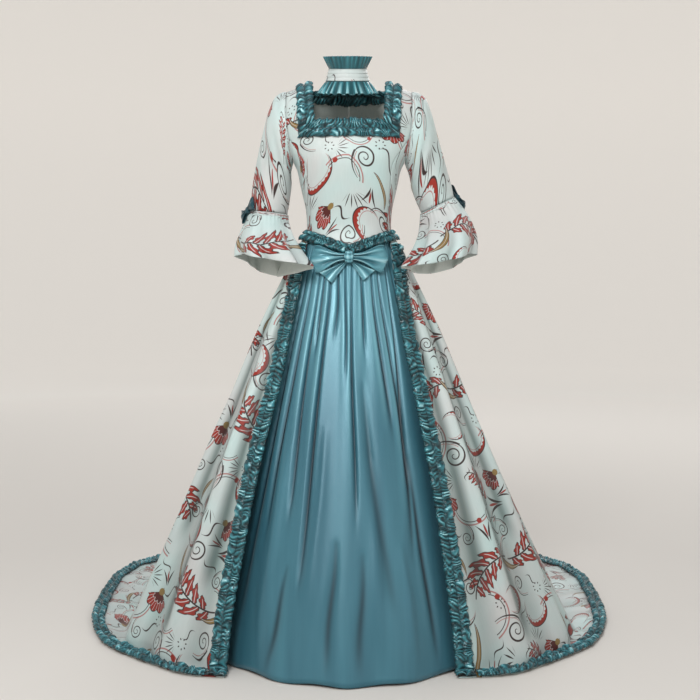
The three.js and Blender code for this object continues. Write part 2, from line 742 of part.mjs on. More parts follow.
function overPanel(hand, gore) {
  return sheet({
    place: gorePlace(hand, gore),
    smooth: (s, v) => overskirt(hand, s, v),
    us: steps(gore.from, gore.to, gore.columns),
    vs: overLevels,
    thick: clothThick,
    side: -1,
    du: 0.001,
    dv: 0.001,
  });
}
add("overskirt_right", overPanel("right", frontGore), "print");
add("overskirt_left", mirrored(overPanel("left", frontGore)), "print");
add("overskirt_back_right", overPanel("right", backGore), "print");
add("overskirt_back_left", mirrored(overPanel("left", backGore)), "print");

// A place on a surface with its outward direction.
const placed = (place, u, v, du, dv, side) => ({
  point: place(u, v),
  outward: outwardOf(place, u, v, du, dv, side),
});

// A panel's faceted face: its grid's corners, with straight lines between them.
function faceted(place, us, vs) {
  const cellOf = (list, value) => {
    let i = 0;
    while (i < list.length - 2 && value > list[i + 1]) i += 1;
    return [i, (value - list[i]) / (list[i + 1] - list[i])];
  };
  const grid = vs.map((v) => us.map((u) => place(u, v)));
  return (u, v) => {
    const [i, s] = cellOf(us, u);
    const [j, r] = cellOf(vs, v);
    const upper = grid[j][i].clone().lerp(grid[j][i + 1], s);
    const lower = grid[j + 1][i].clone().lerp(grid[j + 1][i + 1], s);
    return upper.lerp(lower, r);
  };
}

// The double trim is gathered along its middle and opens to both edges.
const trimInner = 21;
const trimOuter = 26;
const doubleTrim = (inner, outer) => [
  { w: inner, open: 1, phase: 0 },
  { w: 0, open: 0, phase: 0 },
  { w: outer, open: 1, phase: Math.PI },
];

// Trim round the square neck, mitred at the corners.
const neckLine = 1340;
const neckLineX = { low: 107, high: 116 };
const neckTrimHeight = 8;
const neckLift = 2.4;
const backNeckLift = 1.2;
const neckTurn = (place) => (x, g) => placed(place, x, g, 0.5, 0.5, 1);
const onYoke = neckTurn(yoke);
const neckGatherX = (g) => mix(neckLineX.low, neckLineX.high, limit((g - neckLine) / yokeGirth, 0, 1));
const neckRows = doubleTrim(trimInner, -trimOuter);
add(
  "neck_ruffle_front",
  ruffle({
    base: (u, w) => onYoke(u * (neckLineX.low - w - seamGap), neckLine + w),
    from: -1,
    to: 1,
    waves: 8,
    rows: neckRows,
    lift: neckLift,
    height: neckTrimHeight,
  }),
  "trim",
);
const backMitre = backNeckGirth(strapInner) - 4;
const neckSide = ruffle({
  base: (u, w) => {
    const g = mix(neckLine + w, backMitre - w, u);
    return onYoke(neckGatherX(g) - w + seamGap, g);
  },
  from: 0,
  to: 1,
  waves: 8,
  rows: neckRows,
  lift: neckLift,
  height: neckTrimHeight,
});
add("neck_ruffle_right", neckSide, "trim");
add("neck_ruffle_left", mirrored(neckSide), "trim");
const neckBackTop = (x, w) => backNeckGirth(Math.min(Math.abs(x), strapInner)) - 4 - w;
add(
  "neck_ruffle_back",
  ruffle({
    base: (u, w) => {
      const x = u * (neckGatherX(backMitre) - w - seamGap);
      return onYoke(x, neckBackTop(strapInner, w) + (neckBackTop(x, 0) - neckBackTop(strapInner, 0)));
    },
    from: -1,
    to: 1,
    waves: 7,
    rows: neckRows,
    lift: backNeckLift,
    height: neckTrimHeight,
  }),
  "trim",
);

// The frill over the waist seam: its upper edge lies over the bodice and its lower one over the skirts.
const waistFrill = 12;
const waistFrillHeight = 9;
const waistStand = 0.003;
const waistSpread = 0.15;
const waistRows = [
  { w: waistFrill, open: 1, phase: 0 },
  { w: -waistFrill, open: 1, phase: 0 },
];
function waistBase(turn, w) {
  const place = (t, rise) => {
    const seam = waistAt(t);
    const bodice = torso(t, seam + Math.max(rise, 0));
    const share = Math.max(-rise, 0) / waistFrill;
    const spread = 1 + waistStand + share * waistSpread;
    return at(bodice.x * spread, bodice.y * spread, seam + rise);
  };
  return placed(place, turn, w, 0.2, 0.2, 1);
}
const waistSplit = 92;
const waistGap = 0.1;
add(
  "waist_ruffle_front",
  ruffle({
    base: waistBase,
    from: -waistSplit + waistGap,
    to: waistSplit - waistGap,
    waves: 12,
    rows: waistRows,
    lift: seamGap,
    height: waistFrillHeight,
  }),
  "trim",
);
add(
  "waist_ruffle_back",
  ruffle({
    base: waistBase,
    from: waistSplit + waistGap,
    to: 2 * halfTurn - waistSplit - waistGap,
    waves: 10,
    rows: waistRows,
    lift: seamGap,
    height: waistFrillHeight,
  }),
  "trim",
);

// Trim down each front edge of the overskirt, and round its hem.
const edgeTrimWidth = 50;
const edgeTrimHeight = 11;
const edgeTrimTop = 1046;
const edgeTrimOverhang = 3;
const edgeRows = doubleTrim(-edgeTrimWidth / 2, edgeTrimWidth / 2);
const trimLift = 3.2;
const hemLift = 1.3;
function onGores(hand) {
  const smooth = (s, v) => overskirt(hand, s, v);
  const faces = [frontGore, backGore].map((gore) => ({
    to: gore.to,
    face: faceted(gorePlace(hand, gore), steps(gore.from, gore.to, gore.columns), overLevels),
  }));
  return (s, v) => ({
    point: faces.find((one) => s <= one.to).face(s, v),
    outward: outwardOf(smooth, s, v, 0.001, 0.001, -1),
  });
}
function edgeTrim(hand) {
  const place = (s, v) => overskirt(hand, s, v);
  const onGore = onGores(hand);
  return ruffle({
    base: (v, w) => {
      const reach = place(0.02, v).distanceTo(place(0, v)) / 0.02;
      return onGore((w + edgeTrimWidth / 2 - edgeTrimOverhang) / reach, v);
    },
    from: (overTop - edgeTrimTop) / (overTop - overLow),
    to: 1.6,
    waves: 18,
    rows: edgeRows,
    lift: trimLift,
    height: edgeTrimHeight,
  });
}
add("edge_ruffle_right", edgeTrim("right"), "trim");
add("edge_ruffle_left", mirrored(edgeTrim("left")), "trim");

const hemTrimWidth = 50;
const hemTrimHeight = 9;
const hemOverhang = 4;
const hangLength = 1100;
function hemTrim(hand) {
  const place = (s, v) => overskirt(hand, s, v);
  const corner = place(0.02, 2).distanceTo(place(0, 2)) / 0.02;
  const onGore = onGores(hand);
  return ruffle({
    base: (s, w) => {
      const inward = w + hemTrimWidth / 2 - hemOverhang;
      const flat = place(s, 2).distanceTo(place(s, 1));
      const v = inward < flat ? 2 - inward / flat : 1 - (inward - flat) / hangLength;
      return onGore(s, v);
    },
    from: (edgeTrimWidth - edgeTrimOverhang + seamGap) / corner,
    to: 1 - 0.0001,
    waves: 26,
    rows: edgeRows,
    lift: hemLift,
    height: hemTrimHeight,
  });
}
add("hem_ruffle_right", hemTrim("right"), "trim");
add("hem_ruffle_left", mirrored(hemTrim("left")), "trim");

// Front bow: two loops of satin folded back on themselves, two ends and a knot.
const knot = { h: 1015, y: -130.4, halfX: 11, halfY: 9, halfZ: 14 };
function bowLoop(length, drop) {
  const place = (p, q) => {
    const out = sine(halfTurn * p);
    const x = knot.halfX + seamGap + length * out ** 0.85;
    const back = 18 * (x / 100) ** 2;
    const y = knot.y + back - (3 + 10 * out) * cosine(halfTurn * p);
    const half = 10 + 22 * ease(out);
    return at(x, y, knot.h + drop * out + q * half);
  };
  return sheet({
    place: (p, q) => place(limit(p, 0, 1), q),
    us: steps(0, 1, 8),
    vs: steps(-1, 1, 3),
    thick: satinThick,
    du: 0.002,
    dv: 0.01,
  });
}
add("bow_loop_right", bowLoop(88, 3), "bow");
add("bow_loop_left", mirrored(bowLoop(86, 2)), "bow");
const tailTuck = 1;
function bowTail(reach, fall) {
  const place = (p, q) => {
    const half = mix(6, 23, p);
    const x = mix(7.5, reach, p) + q * half * 0.72;
    const h = mix(knot.h - knot.halfZ + tailTuck, fall, p) + q * half * (0.15 + 0.45 * p);
    const section = underSection((Math.asin(limit(x / 150, -1, 1)) * halfTurn) / Math.PI, h);
    return at(x, mix(knot.y + 2, section.y - 9, ease(p * 2)), h);
  };
  return sheet({ place, us: steps(0, 1, 5), vs: steps(-1, 1, 3), thick: satinThick, du: 0.002, dv: 0.01 });
}
add("bow_tail_right", bowTail(52, 968), "bow");
add("bow_tail_left", mirrored(bowTail(60, 962)), "bow");

// A pillow-shaped closed form of three half sizes.
function pillow(halfX, halfY, halfZ, round = 12, levels = 6) {
  const geometry = new THREE.SphereGeometry(1, round, levels);
  const position = geometry.getAttribute("position");
  for (let i = 0; i < position.count; i += 1) {
    const [x, y, z] = [position.getX(i), position.getY(i), position.getZ(i)];
    const plump = (value, size) => size * Math.sign(value) * Math.abs(value) ** 0.7;
    position.setXYZ(i, plump(x, halfX), plump(z, halfY), plump(y, halfZ));
  }
  geometry.deleteAttribute("normal");
  geometry.deleteAttribute("uv");
  const merged = mergeVertices(geometry, 1e-3);
  const points = [];
  const spots = merged.getAttribute("position");
  for (let i = 0; i < spots.count; i += 1) points.push(at(spots.getX(i), spots.getY(i), spots.getZ(i)));
  const triangles = [];
  const index = merged.index.array;
  for (let i = 0; i < index.length; i += 3) {
    const face = [index[i], index[i + 1], index[i + 2]];
    if (new Set(face).size === 3) triangles.push(face);
  }
  return closed(points, triangles);
}
add("bow_knot", pillow(knot.halfX, knot.halfY, knot.halfZ).translate(0, knot.y, knot.h), "bow");

// Elbow bows: two small loops run into a knot, turned to face out from the elbow.
function smallBow(length, half) {
  const loop = sheet({
    place: (p, q) => {
      const out = sine(halfTurn * limit(p, 0, 1));
      const x = 3 + length * out ** 0.85;
      return at(x, -(2.6 + 6 * out) * cosine(halfTurn * p), q * (6 + half * ease(out)));
    },
    us: steps(0, 1, 6),
    vs: steps(-1, 1, 2),
    thick: trimThick,
    du: 0.002,
    dv: 0.01,
  });
  return joined([loop, mirrored(loop), pillow(7, 6, 8.5, 8, 4)]);
}
function seatedBow(name, rows, { turn, tilt, lean, seat }) {
  const last = rows[rows.length - 1];
  const spot = armRing(rows, turn, last.ring);
  const outward = outwardOf((t, v) => armRing(rows, t, v), turn, last.ring, 0.5, 0.05, 1);
  const hand = name.endsWith("left") ? -1 : 1;
  const heading = Math.atan2(outward.x, -outward.y);
  const bow = smallBow(30, 15);
  bow.rotateY(radians(tilt));
  bow.rotateX(radians(lean));
  bow.rotateZ(heading);
  bow.translate(spot.x + outward.x * seat, spot.y + outward.y * seat, spot.z);
  add(name, hand < 0 ? mirrored(bow) : bow, "darkBow");
}
seatedBow("elbow_bow_left", sleeveLeft, { turn: 28, tilt: 35, lean: -14, seat: 8.9 });
seatedBow("elbow_bow_right", sleeveRight, { turn: -14, tilt: -60, lean: -28, seat: 12.4 });

// Choker: a band with three tucks, a frill standing above it and one falling below it. Its front dips.
const chokerX = -3.4;
const chokerLow = { h: 1484, side: 57, depth: 60 };
const chokerHigh = { h: 1513, side: 50, depth: 54 };
const chokerFlare = { side: 19, depth: 18, drop: 37, backDrop: 32 };
const chokerDip = 18;
const chokerRound = 18;
const neckFrillTop = onYoke(0, neckBackTop(0, trimInner)).point;
const chokerSeat = 3.4;
const chokerBackY = neckFrillTop.y + chokerSeat;
const chokerFall = (chokerLow.h - neckFrillTop.z) / chokerFlare.backDrop;
const chokerWave = 5;
const chokerCrest = (chokerWave + chokerFlare.depth) * chokerFall;
const chokerY = chokerBackY - (chokerLow.depth + chokerCrest + trimThick);
function chokerDown(turn) {
  return chokerDip * (0.5 + 0.5 * cosine(turn));
}
function chokerPlace(turn, v) {
  const tuck = 1.1 * Math.cos(tau * 3 * v);
  const side = mix(chokerLow.side, chokerHigh.side, v) - tuck;
  const depth = mix(chokerLow.depth, chokerHigh.depth, v) - tuck;
  const [x, y] = oval(turn, side, depth, depth, 2);
  return at(x + chokerX, y + chokerY, mix(chokerLow.h, chokerHigh.h, v) - chokerDown(turn));
}
add(
  "choker_band",
  sheet({
    place: chokerPlace,
    us: steps(0, 2 * halfTurn, chokerRound).slice(0, chokerRound),
    vs: steps(0, 1, 6),
    thick: clothThick,
    loop: true,
    du: 0.5,
    dv: 0.01,
  }),
  "print",
);
const chokerTopFlare = { side: 13, depth: 13, rise: 32 };
function chokerFrill(low) {
  return (turn, w) => {
    const share = Math.abs(w);
    const flare = low ? chokerFlare : chokerTopFlare;
    const end = low ? chokerLow : chokerHigh;
    const side = end.side - trimThick + flare.side * share;
    const depth = end.depth - trimThick + flare.depth * share;
    const [x, y] = oval(turn, side, depth, depth, 2);
    const drop = mix(flare.drop, flare.backDrop, 0.5 - 0.5 * cosine(turn));
    const h = low ? end.h - seamGap - drop * share : end.h + seamGap + flare.rise * share;
    const outward = at(sine(turn), -cosine(turn), 0);
    return { point: at(x + chokerX, y + chokerY, h - chokerDown(turn)), outward };
  };
}
const chokerRows = [
  { w: 0, open: 0, phase: 0 },
  { w: 1, open: 1, phase: 0 },
];
add(
  "choker_ruffle_top",
  ruffle({
    base: chokerFrill(false),
    from: 0,
    to: 2 * halfTurn,
    waves: 12,
    rows: chokerRows,
    lift: 0,
    height: chokerWave,
    loop: true,
  }),
  "trim",
);
add(
  "choker_ruffle_bottom",
  ruffle({
    base: chokerFrill(true),
    from: 0,
    to: 2 * halfTurn,
    waves: 14,
    rows: chokerRows,
    lift: 0,
    height: chokerWave,
    loop: true,
  }),
  "trim",
);

export default gown;
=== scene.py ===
import math
import bpy
import numpy as np
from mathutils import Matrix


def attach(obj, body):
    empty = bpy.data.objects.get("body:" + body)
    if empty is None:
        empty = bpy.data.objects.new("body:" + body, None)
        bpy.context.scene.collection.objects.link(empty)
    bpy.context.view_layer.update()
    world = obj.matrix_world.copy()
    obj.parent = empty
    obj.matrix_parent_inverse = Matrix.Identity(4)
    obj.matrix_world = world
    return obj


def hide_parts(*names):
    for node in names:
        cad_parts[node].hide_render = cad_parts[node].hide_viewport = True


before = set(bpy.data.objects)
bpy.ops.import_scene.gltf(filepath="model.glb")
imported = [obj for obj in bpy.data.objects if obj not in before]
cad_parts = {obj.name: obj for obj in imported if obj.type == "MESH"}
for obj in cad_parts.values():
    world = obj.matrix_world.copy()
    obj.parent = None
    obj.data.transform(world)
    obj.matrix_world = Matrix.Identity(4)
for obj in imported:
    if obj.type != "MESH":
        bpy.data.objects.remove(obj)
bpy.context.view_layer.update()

# A long gown in medieval style. Shapes are worked out in millimetres, with heights above the floor,
# and go into the meshes in metres with the shoulders at zero.
shoulderHeight = 1450
print("frame loaded")


# tables and small sums
def table(names, *rows):
    return dict(zip(names.split(), np.array(rows, float).T))


# one column of a table, smooth between its rows and straight on past its ends
def readTable(rows, value, column, key="h"):
    keys, vals = rows[key], rows[column]
    last = len(keys) - 1
    ends = [(max(k - 1, 0), min(k + 1, last)) for k in range(last + 1)]
    slopes = np.array([(vals[b] - vals[a]) / (keys[b] - keys[a]) for a, b in ends])
    value = np.asarray(value, float)
    i = np.clip(np.searchsorted(keys, value) - 1, 0, last - 1)
    width = keys[i + 1] - keys[i]
    s = (value - keys[i]) / width
    rise = vals[i + 1] - vals[i]
    bend = s * (1 - s)
    inside = vals[i] + rise * s + bend * ((1 - s) * (slopes[i] * width - rise) - s * (slopes[i + 1] * width - rise))
    below = vals[0] + slopes[0] * (value - keys[0])
    above = vals[last] + slopes[last] * (value - keys[last])
    return np.where(value < keys[0], below, np.where(value > keys[last], above, inside))


def mix(a, b, share):
    return a + (b - a) * share


def ease(value):
    s = np.clip(value, 0, 1)
    return s * s * (3 - 2 * s)


def sine(turn):
    return np.sin(np.radians(turn))


def cosine(turn):
    return np.cos(np.radians(turn))


def spot(x, y, h):
    return np.stack(np.broadcast_arrays(x, y, h), -1).astype(float)


def grid(us, vs):
    return np.meshgrid(np.asarray(us, float), np.asarray(vs, float))


# a soft bell, 1 in its middle; with power 1 it fades from 1 on one side
def bell(value, width, power=2):
    return np.exp(-((value / width) ** power))


# a wave between 0 and 1, in radians or in degrees
def swellIn(value):
    return 0.5 + 0.5 * np.cos(value)


def swellOf(turn):
    return swellIn(np.radians(turn))


# a slow random wander between -1 and 1 along a length, the same each run
def wander(length, step, seed):
    dice = np.random.default_rng(seed)
    count = int(np.max(length) / step) + 4
    knots = dice.uniform(-1, 1, count)
    place = np.clip(length / step, 0, count - 2)
    i = place.astype(int)
    return mix(knots[i], knots[i + 1], ease(place - i))


# cloth as meshes
def unitCross(across, down, side):
    out = np.cross(across, down)
    return side * out / np.maximum(np.linalg.norm(out, axis=-1, keepdims=True), 1e-9)


def outwardOf(points, side):
    return unitCross(np.gradient(points, axis=1), np.gradient(points, axis=0), side)


# the same for strips on a surface: place(a, w) is the surface, and a and w are grids
def outwardAt(place, a, w, da, dw, side):
    return unitCross(place(a + da, w) - place(a - da, w), place(a, w + dw) - place(a, w - dw), side)


def stepLengths(points, axis):
    return np.linalg.norm(np.diff(points, axis=axis), axis=-1)


# how far along its row (axis 1) or its column (axis 0) each point lies
def runLengths(points, axis):
    runs = np.cumsum(stepLengths(points, axis), axis=axis)
    return np.concatenate([0 * runs.take([0], axis), runs], axis=axis)


# the flat cut of a surface, opened out from its middle column, in millimetres
def cutOf(points):
    rows, columns = points.shape[:2]
    middle = columns // 2
    across, down = runLengths(points, 1), runLengths(points, 0)
    wide = across[:, -1]
    across = across - across[:, middle:middle + 1]
    flare = np.gradient(wide, down.mean(axis=1) + np.arange(rows) * 1e-4)
    window = max(rows // 12, 1)
    usual = np.ones(2 * window + 1) / (2 * window + 1)
    flare = np.convolve(np.pad(flare, window, mode="edge"), usual, mode="valid")[:, None]
    flare = np.where(np.abs(flare) < 0.02, 0.02, flare)  # a straight strip opens out round a far-off middle
    radius = wide[:, None] / flare
    angle = across / radius
    return np.stack([radius * np.sin(angle), down - radius * (1 - np.cos(angle))], -1)


# soft troughs and ridges placed on the flat cut: from one end to the other, with a width and depth
def creases(cut, rows):
    total = np.zeros(cut.shape[:2])
    for x, y, toX, toY, wide, deep in rows:
        run = np.array([toX - x, toY - y], float)
        share = np.clip(((cut - [x, y]) @ run) / (run @ run), 0, 1)
        near = np.linalg.norm(cut - ([x, y] + share[..., None] * run), axis=-1)
        total += deep * bell(near, wide) * np.sin(np.pi * (0.12 + 0.76 * share)) ** 1.5
    return total


# a mesh of the kept cells of a grid of points; in a loop the last column is the first
def patchMesh(name, points, cut, flip, loop, kept):
    rows, columns = points.shape[:2]
    j, i = np.nonzero(kept)
    first = j * columns + i
    corners = np.stack([first, first + 1, first + columns + 1, first + columns], -1)
    if flip:
        corners = corners[:, ::-1]
    same = np.arange(rows * columns).reshape(rows, columns)
    if loop:
        same[:, -1] = same[:, 0]
    used, faces = np.unique(same.ravel()[corners], return_inverse=True)
    places = points.reshape(-1, 3)[used].copy()
    places[:, 2] -= shoulderHeight
    mesh = bpy.data.meshes.new(name)
    mesh.from_pydata((places / 1000).tolist(), [], faces.reshape(-1, 4).tolist())
    layer = mesh.uv_layers.new(name="cut")
    layer.data.foreach_set("uv", (cut.reshape(-1, 2)[corners] / 1000).ravel())
    mesh.update()
    return mesh


def onlySelected(piece):
    bpy.ops.object.select_all(action="DESELECT")
    piece.select_set(True)
    bpy.context.view_layer.objects.active = piece


def pointShade(mesh, label, values):
    mesh.attributes.new(label, "FLOAT", "POINT").data.foreach_set("value", values.ravel())


def placePiece(piece, node):
    bpy.ops.object.shade_smooth()
    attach(piece, "root")
    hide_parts(node)


# one piece of cloth: a patch of its points, given its thickness, materials and place in the frame
# fold is painted light for satin, mixing in painted shade below 1 and a painted highlight above 1, and the last
# argument is how much painted shade printed cloth gets
def clothPiece(name, node, points, side, look, thick, held, restsOn=(), loop=False, keep=None,
               mirror=False, cutShift=(0, 0), cut=None, fold=None, paintedShade=None):
    flat = cutOf(points) if cut is None else cut
    diagonals = points[1:, 1:] - points[:-1, :-1], points[:-1, 1:] - points[1:, :-1]
    areas = 0.5 * np.linalg.norm(np.cross(*diagonals), axis=-1)
    j, i = np.indices(areas.shape)
    kept = np.full(areas.shape, True) if keep is None else keep(i, j)
    area = areas[kept].sum()
    width = stepLengths(points, 1).sum(axis=1).max()
    length = stepLengths(points, 0).sum(axis=0).max()
    if held == "gathered" and fold is not None:  # a gathered strip is cut as a long rectangle
        length = np.median(stepLengths(points, 0).sum(axis=0))
        width = area / length
    points = points * [-1 if mirror else 1, 1, 1]
    mesh = patchMesh(name, points, flat + np.array(cutShift), (side < 0) != mirror, loop, kept)
    for label, values in (("fold", fold), ("paintedShade", paintedShade)):
        if values is not None:
            pointShade(mesh, label, values[:, :-1] if loop else values)
    piece = bpy.data.objects.new(name, mesh)
    bpy.context.collection.objects.link(piece)
    for material in look["materials"]:
        mesh.materials.append(material)
    onlySelected(piece)
    wall = piece.modifiers.new("wall", "SOLIDIFY")
    wall.thickness = thick / 1000
    wall.offset = -1
    wall.material_offset = len(look["materials"]) - 1
    bpy.ops.object.modifier_apply(modifier="wall")
    placePiece(piece, node)
    return piece


# points turned in degrees about x, y or z, in the order given
def spun(points, turns):
    for axis, angle in turns:
        c, s = math.cos(math.radians(angle)), math.sin(math.radians(angle))
        points = points @ np.array({"x": [[1, 0, 0], [0, c, -s], [0, s, c]],
                                    "y": [[c, 0, s], [0, 1, 0], [-s, 0, c]],
                                    "z": [[c, -s, 0], [s, c, 0], [0, 0, 1]]}[axis]).T
    return points


# materials
def hexColour(text):
    values = [int(text[k:k + 2], 16) / 255 for k in (1, 3, 5)]
    return tuple(v / 12.92 if v <= 0.04045 else ((v + 0.055) / 1.055) ** 2.4 for v in values) + (1,)


# a number inside a node tree, so that a pattern can be written as a sum
class nodeValue:
    def __init__(self, tree, socket):
        self.tree, self.socket = tree, socket

    def op(self, kind, *others, clamp=False):
        made = addNode(self.tree, "ShaderNodeMath", {"operation": kind, "use_clamp": clamp})
        for k, value in enumerate((self,) + others):
            join(self.tree, value, made.inputs[k])
        return nodeValue(self.tree, made.outputs[0])

    def __add__(self, other):
        return self.op("ADD", other)

    def __sub__(self, other):
        return self.op("SUBTRACT", other)

    def __mul__(self, other):
        return self.op("MULTIPLY", other)

    def __truediv__(self, other):
        return self.op("DIVIDE", other)

    def size(self):
        return self.op("ABSOLUTE")

    # 1 where this is below an edge, 0 above it, with a soft step
    def below(self, edge, soft):
        if isinstance(edge, nodeValue):
            return (edge - self).op("MULTIPLY_ADD", 1 / soft, 0.5, clamp=True)
        return self.op("MULTIPLY_ADD", -1 / soft, edge / soft + 0.5, clamp=True)

    def above(self, edge, soft):
        return (self * -1).below(edge * -1, soft)

    def within(self, reach, soft):
        return self.size().below(reach, soft)

    def near(self, place, reach, soft):
        return (self - place).within(reach, soft)


def join(tree, source, target):
    if isinstance(source, nodeValue):
        tree.links.new(source.socket, target)
    elif isinstance(source, bpy.types.NodeSocket):
        tree.links.new(source, target)
    else:
        target.default_value = source


def addNode(tree, kind, settings=None, **inputs):
    made = tree.nodes.new(kind)
    for key, value in (settings or {}).items():
        setattr(made, key, value)
    for key, value in inputs.items():
        join(tree, value, made.inputs[key])
    return made


def vectorMath(tree, kind, *values, **named):
    made = addNode(tree, "ShaderNodeVectorMath", {"operation": kind}, **named)
    for k, value in enumerate(values):
        join(tree, value, made.inputs[k])
    return made.outputs[0]


def xyOf(tree, vector):
    split = addNode(tree, "ShaderNodeSeparateXYZ", Vector=vector)
    return [nodeValue(tree, split.outputs[k]) for k in (0, 1)]


def mixColour(tree, share, one, two, blend="MIX"):
    made = addNode(tree, "ShaderNodeMix", {"data_type": "RGBA", "blend_type": blend})
    for k, value in ((0, share), (6, one), (7, two)):
        join(tree, value, made.inputs[k])
    return made.outputs[2]


socketKinds = {"place": "Vector", "cut": "Vector", "middle": "Vector", "turn": "Float", "scale": "Float",
               "under": "Color", "colour": "Color"}


def newTree(name, inputs, outputs):
    tree = bpy.data.node_groups.new(name, "ShaderNodeTree")
    for labels, way in ((inputs, "INPUT"), (outputs, "OUTPUT")):
        for label in labels.split():
            tree.interface.new_socket(label, in_out=way, socket_type="NodeSocket" + socketKinds[label])
    return tree, tree.nodes.new("NodeGroupInput"), tree.nodes.new("NodeGroupOutput")


inks = {name: hexColour(text) for name, text in {
    "outline": "#2e1a19", "red": "#98200f", "deepRed": "#54120e", "pink": "#b07a78", "gold": "#8f7440",
    "ground": "#c2dbda", "blush": "#d0cdcd"}.items()}


def distance(x, y):
    return (x * x + y * y).op("SQRT")


# each motif is drawn about its own middle, about one unit across, as layers of (mask, ink)
def drawSpray(x, y):
    bend = 0.75
    low = y + bend
    along = x.op("ARCTAN2", low) * bend
    across = distance(x, low) - bend
    reach = across.size()
    base = along - reach * 0.45 - reach * reach * 1.3 + across.op("SIGN") * 0.045
    row = (base / 0.172).op("ROUND") * 0.172
    aside = ((base - row) * 0.74).size()
    length = (row * row).op("MULTIPLY_ADD", -0.85, 0.27).op("MAXIMUM", 0.05)
    t = (reach / length).op("MINIMUM", 1.3)
    lobes = (t * 15).op("SINE").op("MULTIPLY_ADD", 0.016, 0.047)
    half = (t * math.pi).op("SINE") * lobes
    window = row.within(0.5, 0.01)
    leaf = aside.below(half, 0.010) * window
    outline = aside.below(half + 0.014, 0.008) * window * t.below(1.06, 0.03)
    vein = aside.below(0.005, 0.006) * t.below(0.75, 0.1) * window
    stem = reach.below(0.012, 0.006) * along.within(0.58, 0.02)
    return [(outline, "outline"), (leaf, "red"), (vein, "blush"), (stem, "outline")]


# a flower seen from the side: a fan of jagged petals with a smaller fan in front of it
def drawFlower(x, y):
    low = y + 0.40
    r = (x * x * 0.9 + low * low).op("SQRT")
    turn = x.op("ARCTAN2", low)
    rim = (turn * 5.5).op("COSINE").size().op("MULTIPLY_ADD", 0.12, 0.66) - turn * turn * 0.13
    window = turn.within(1.0, 0.03)
    body = r.below(rim, 0.012) * window
    edge = r.near(rim, 0.017, 0.008) * window
    rays = (turn * 15).op("SINE").within(0.20, 0.15) * r.above(0.34, 0.02) * body
    front = (turn * 7).op("SINE").size().op("MULTIPLY_ADD", 0.10, 0.34) - turn * turn * 0.05
    heart = r.below(front, 0.012) * window
    lip = r.near(front, 0.014, 0.008) * window
    side = turn.size().near(1.0, 0.03, 0.02) * r.below(0.5, 0.02)
    cup = r.below(0.13, 0.012)
    stem = (x + low * low * 0.3).within(0.012, 0.008) * low.within(0.16, 0.01)
    return [(stem, "outline"), (body, "red"), (rays, "blush"), (edge, "outline"), (heart, "deepRed"),
            (lip, "blush"), (side, "outline"), (cup, "gold")]


def drawScroll(x, y):
    r = distance(x, y)
    winding = y.op("ARCTAN2", x) / (2 * math.pi) + r * 8.4
    ring = (winding - winding.op("ROUND")).size() * 0.119
    curl = ring.below(r * 0.060 + 0.007, 0.008) * r.below(0.238, 0.004)
    aside = x + 0.262
    tailR = distance(aside, y)
    tailTurn = (y * -1).op("ARCTAN2", aside)
    window = tailTurn.near(0.62, 0.62, 0.01)
    tail = tailR.near(0.5, tailTurn.op("MULTIPLY_ADD", -0.013, 0.022), 0.008) * window
    twin = tailR.near(0.452, 0.007, 0.006) * window
    return [(tail, "outline"), (twin, "pink"), (curl, "outline")]


def drawCrescent(x, y):
    outer = distance(x, y)
    shiftX, shiftY = x - 0.10, y - 0.04
    inner = distance(shiftX, shiftY)
    teeth = (shiftY.op("ARCTAN2", shiftX) * 11).op("SINE").size() * 0.04
    body = outer.below(0.45, 0.01) * inner.above(teeth + 0.405, 0.01)
    edge = outer.near(0.45, 0.014, 0.008) * inner.above(0.395, 0.01)
    lip = inner.near(0.375, 0.008, 0.008) * outer.below(0.45, 0.01)
    return [(body, "red"), (edge, "outline"), (lip, "pink")]


def drawLongLeaf(x, y):
    low = y + 0.7
    along = x.op("ARCTAN2", low) * 0.7
    across = (distance(x, low) - 0.7).size()
    half = (along * 2.9).op("COSINE") * 0.062
    window = along.within(0.52, 0.02)
    body = across.below(half, 0.012) * window
    edge = across.near(half, 0.008, 0.008) * window
    rib = across.below(0.005, 0.006) * window
    return [(body, "gold"), (edge, "outline"), (rib, "blush")]


def drawArcs(x, y):
    r = distance(x, y)
    window = y.op("ARCTAN2", x).near(0.3, 1.25, 0.01)
    one = r.near(0.43, 0.014, 0.007) * window
    two = r.near(0.37, 0.008, 0.006) * window
    knob = distance(x - 0.34, y + 0.18).below(0.05, 0.01)
    return [(one, "pink"), (two, "outline"), (knob, "red")]


def drawDots(x, y):
    r = distance(x, y)
    turn = y.op("ARCTAN2", x)
    step = 2 * math.pi / 7
    away = r - 0.32
    swing = (turn - (turn / step).op("ROUND") * step) * r
    return [((away * away * 0.4 + swing * swing).op("SQRT").below(0.045, 0.02), "outline")]


# a fan of short brush strokes
def drawSprig(x, y):
    low = y + 0.42
    r = distance(x, low)
    turn = x.op("ARCTAN2", low)
    aside = ((turn - (turn / 0.36).op("ROUND") * 0.36) * r).size()
    half = ((r - 0.22) * 4.6).op("SINE") * 0.028
    window = r.near(0.56, 0.34, 0.01) * turn.within(1.05, 0.02)
    return [(aside.below(half, 0.012) * window, "outline")]


# two dark strokes that open like a tulip, with a red one between them
def drawTulip(x, y):
    low = y + 0.45
    side = (x.size() - low * low * 0.42 - 0.05).size()
    half = (low * 3.4).op("SINE") * 0.055
    bud = x.within(((low - 0.2) * 4.6).op("SINE") * 0.05, 0.015) * low.near(0.5, 0.32, 0.02)
    return [(side.below(half, 0.02) * low.near(0.46, 0.46, 0.02), "outline"), (bud, "red")]


def drawWave(x, y):
    away = (y - (x * 6.5).op("SINE") * 0.15).size()
    half = (x * 3.1).op("COSINE") * 0.045
    return [(away.below(half, 0.02) * x.within(0.5, 0.02), "outline")]
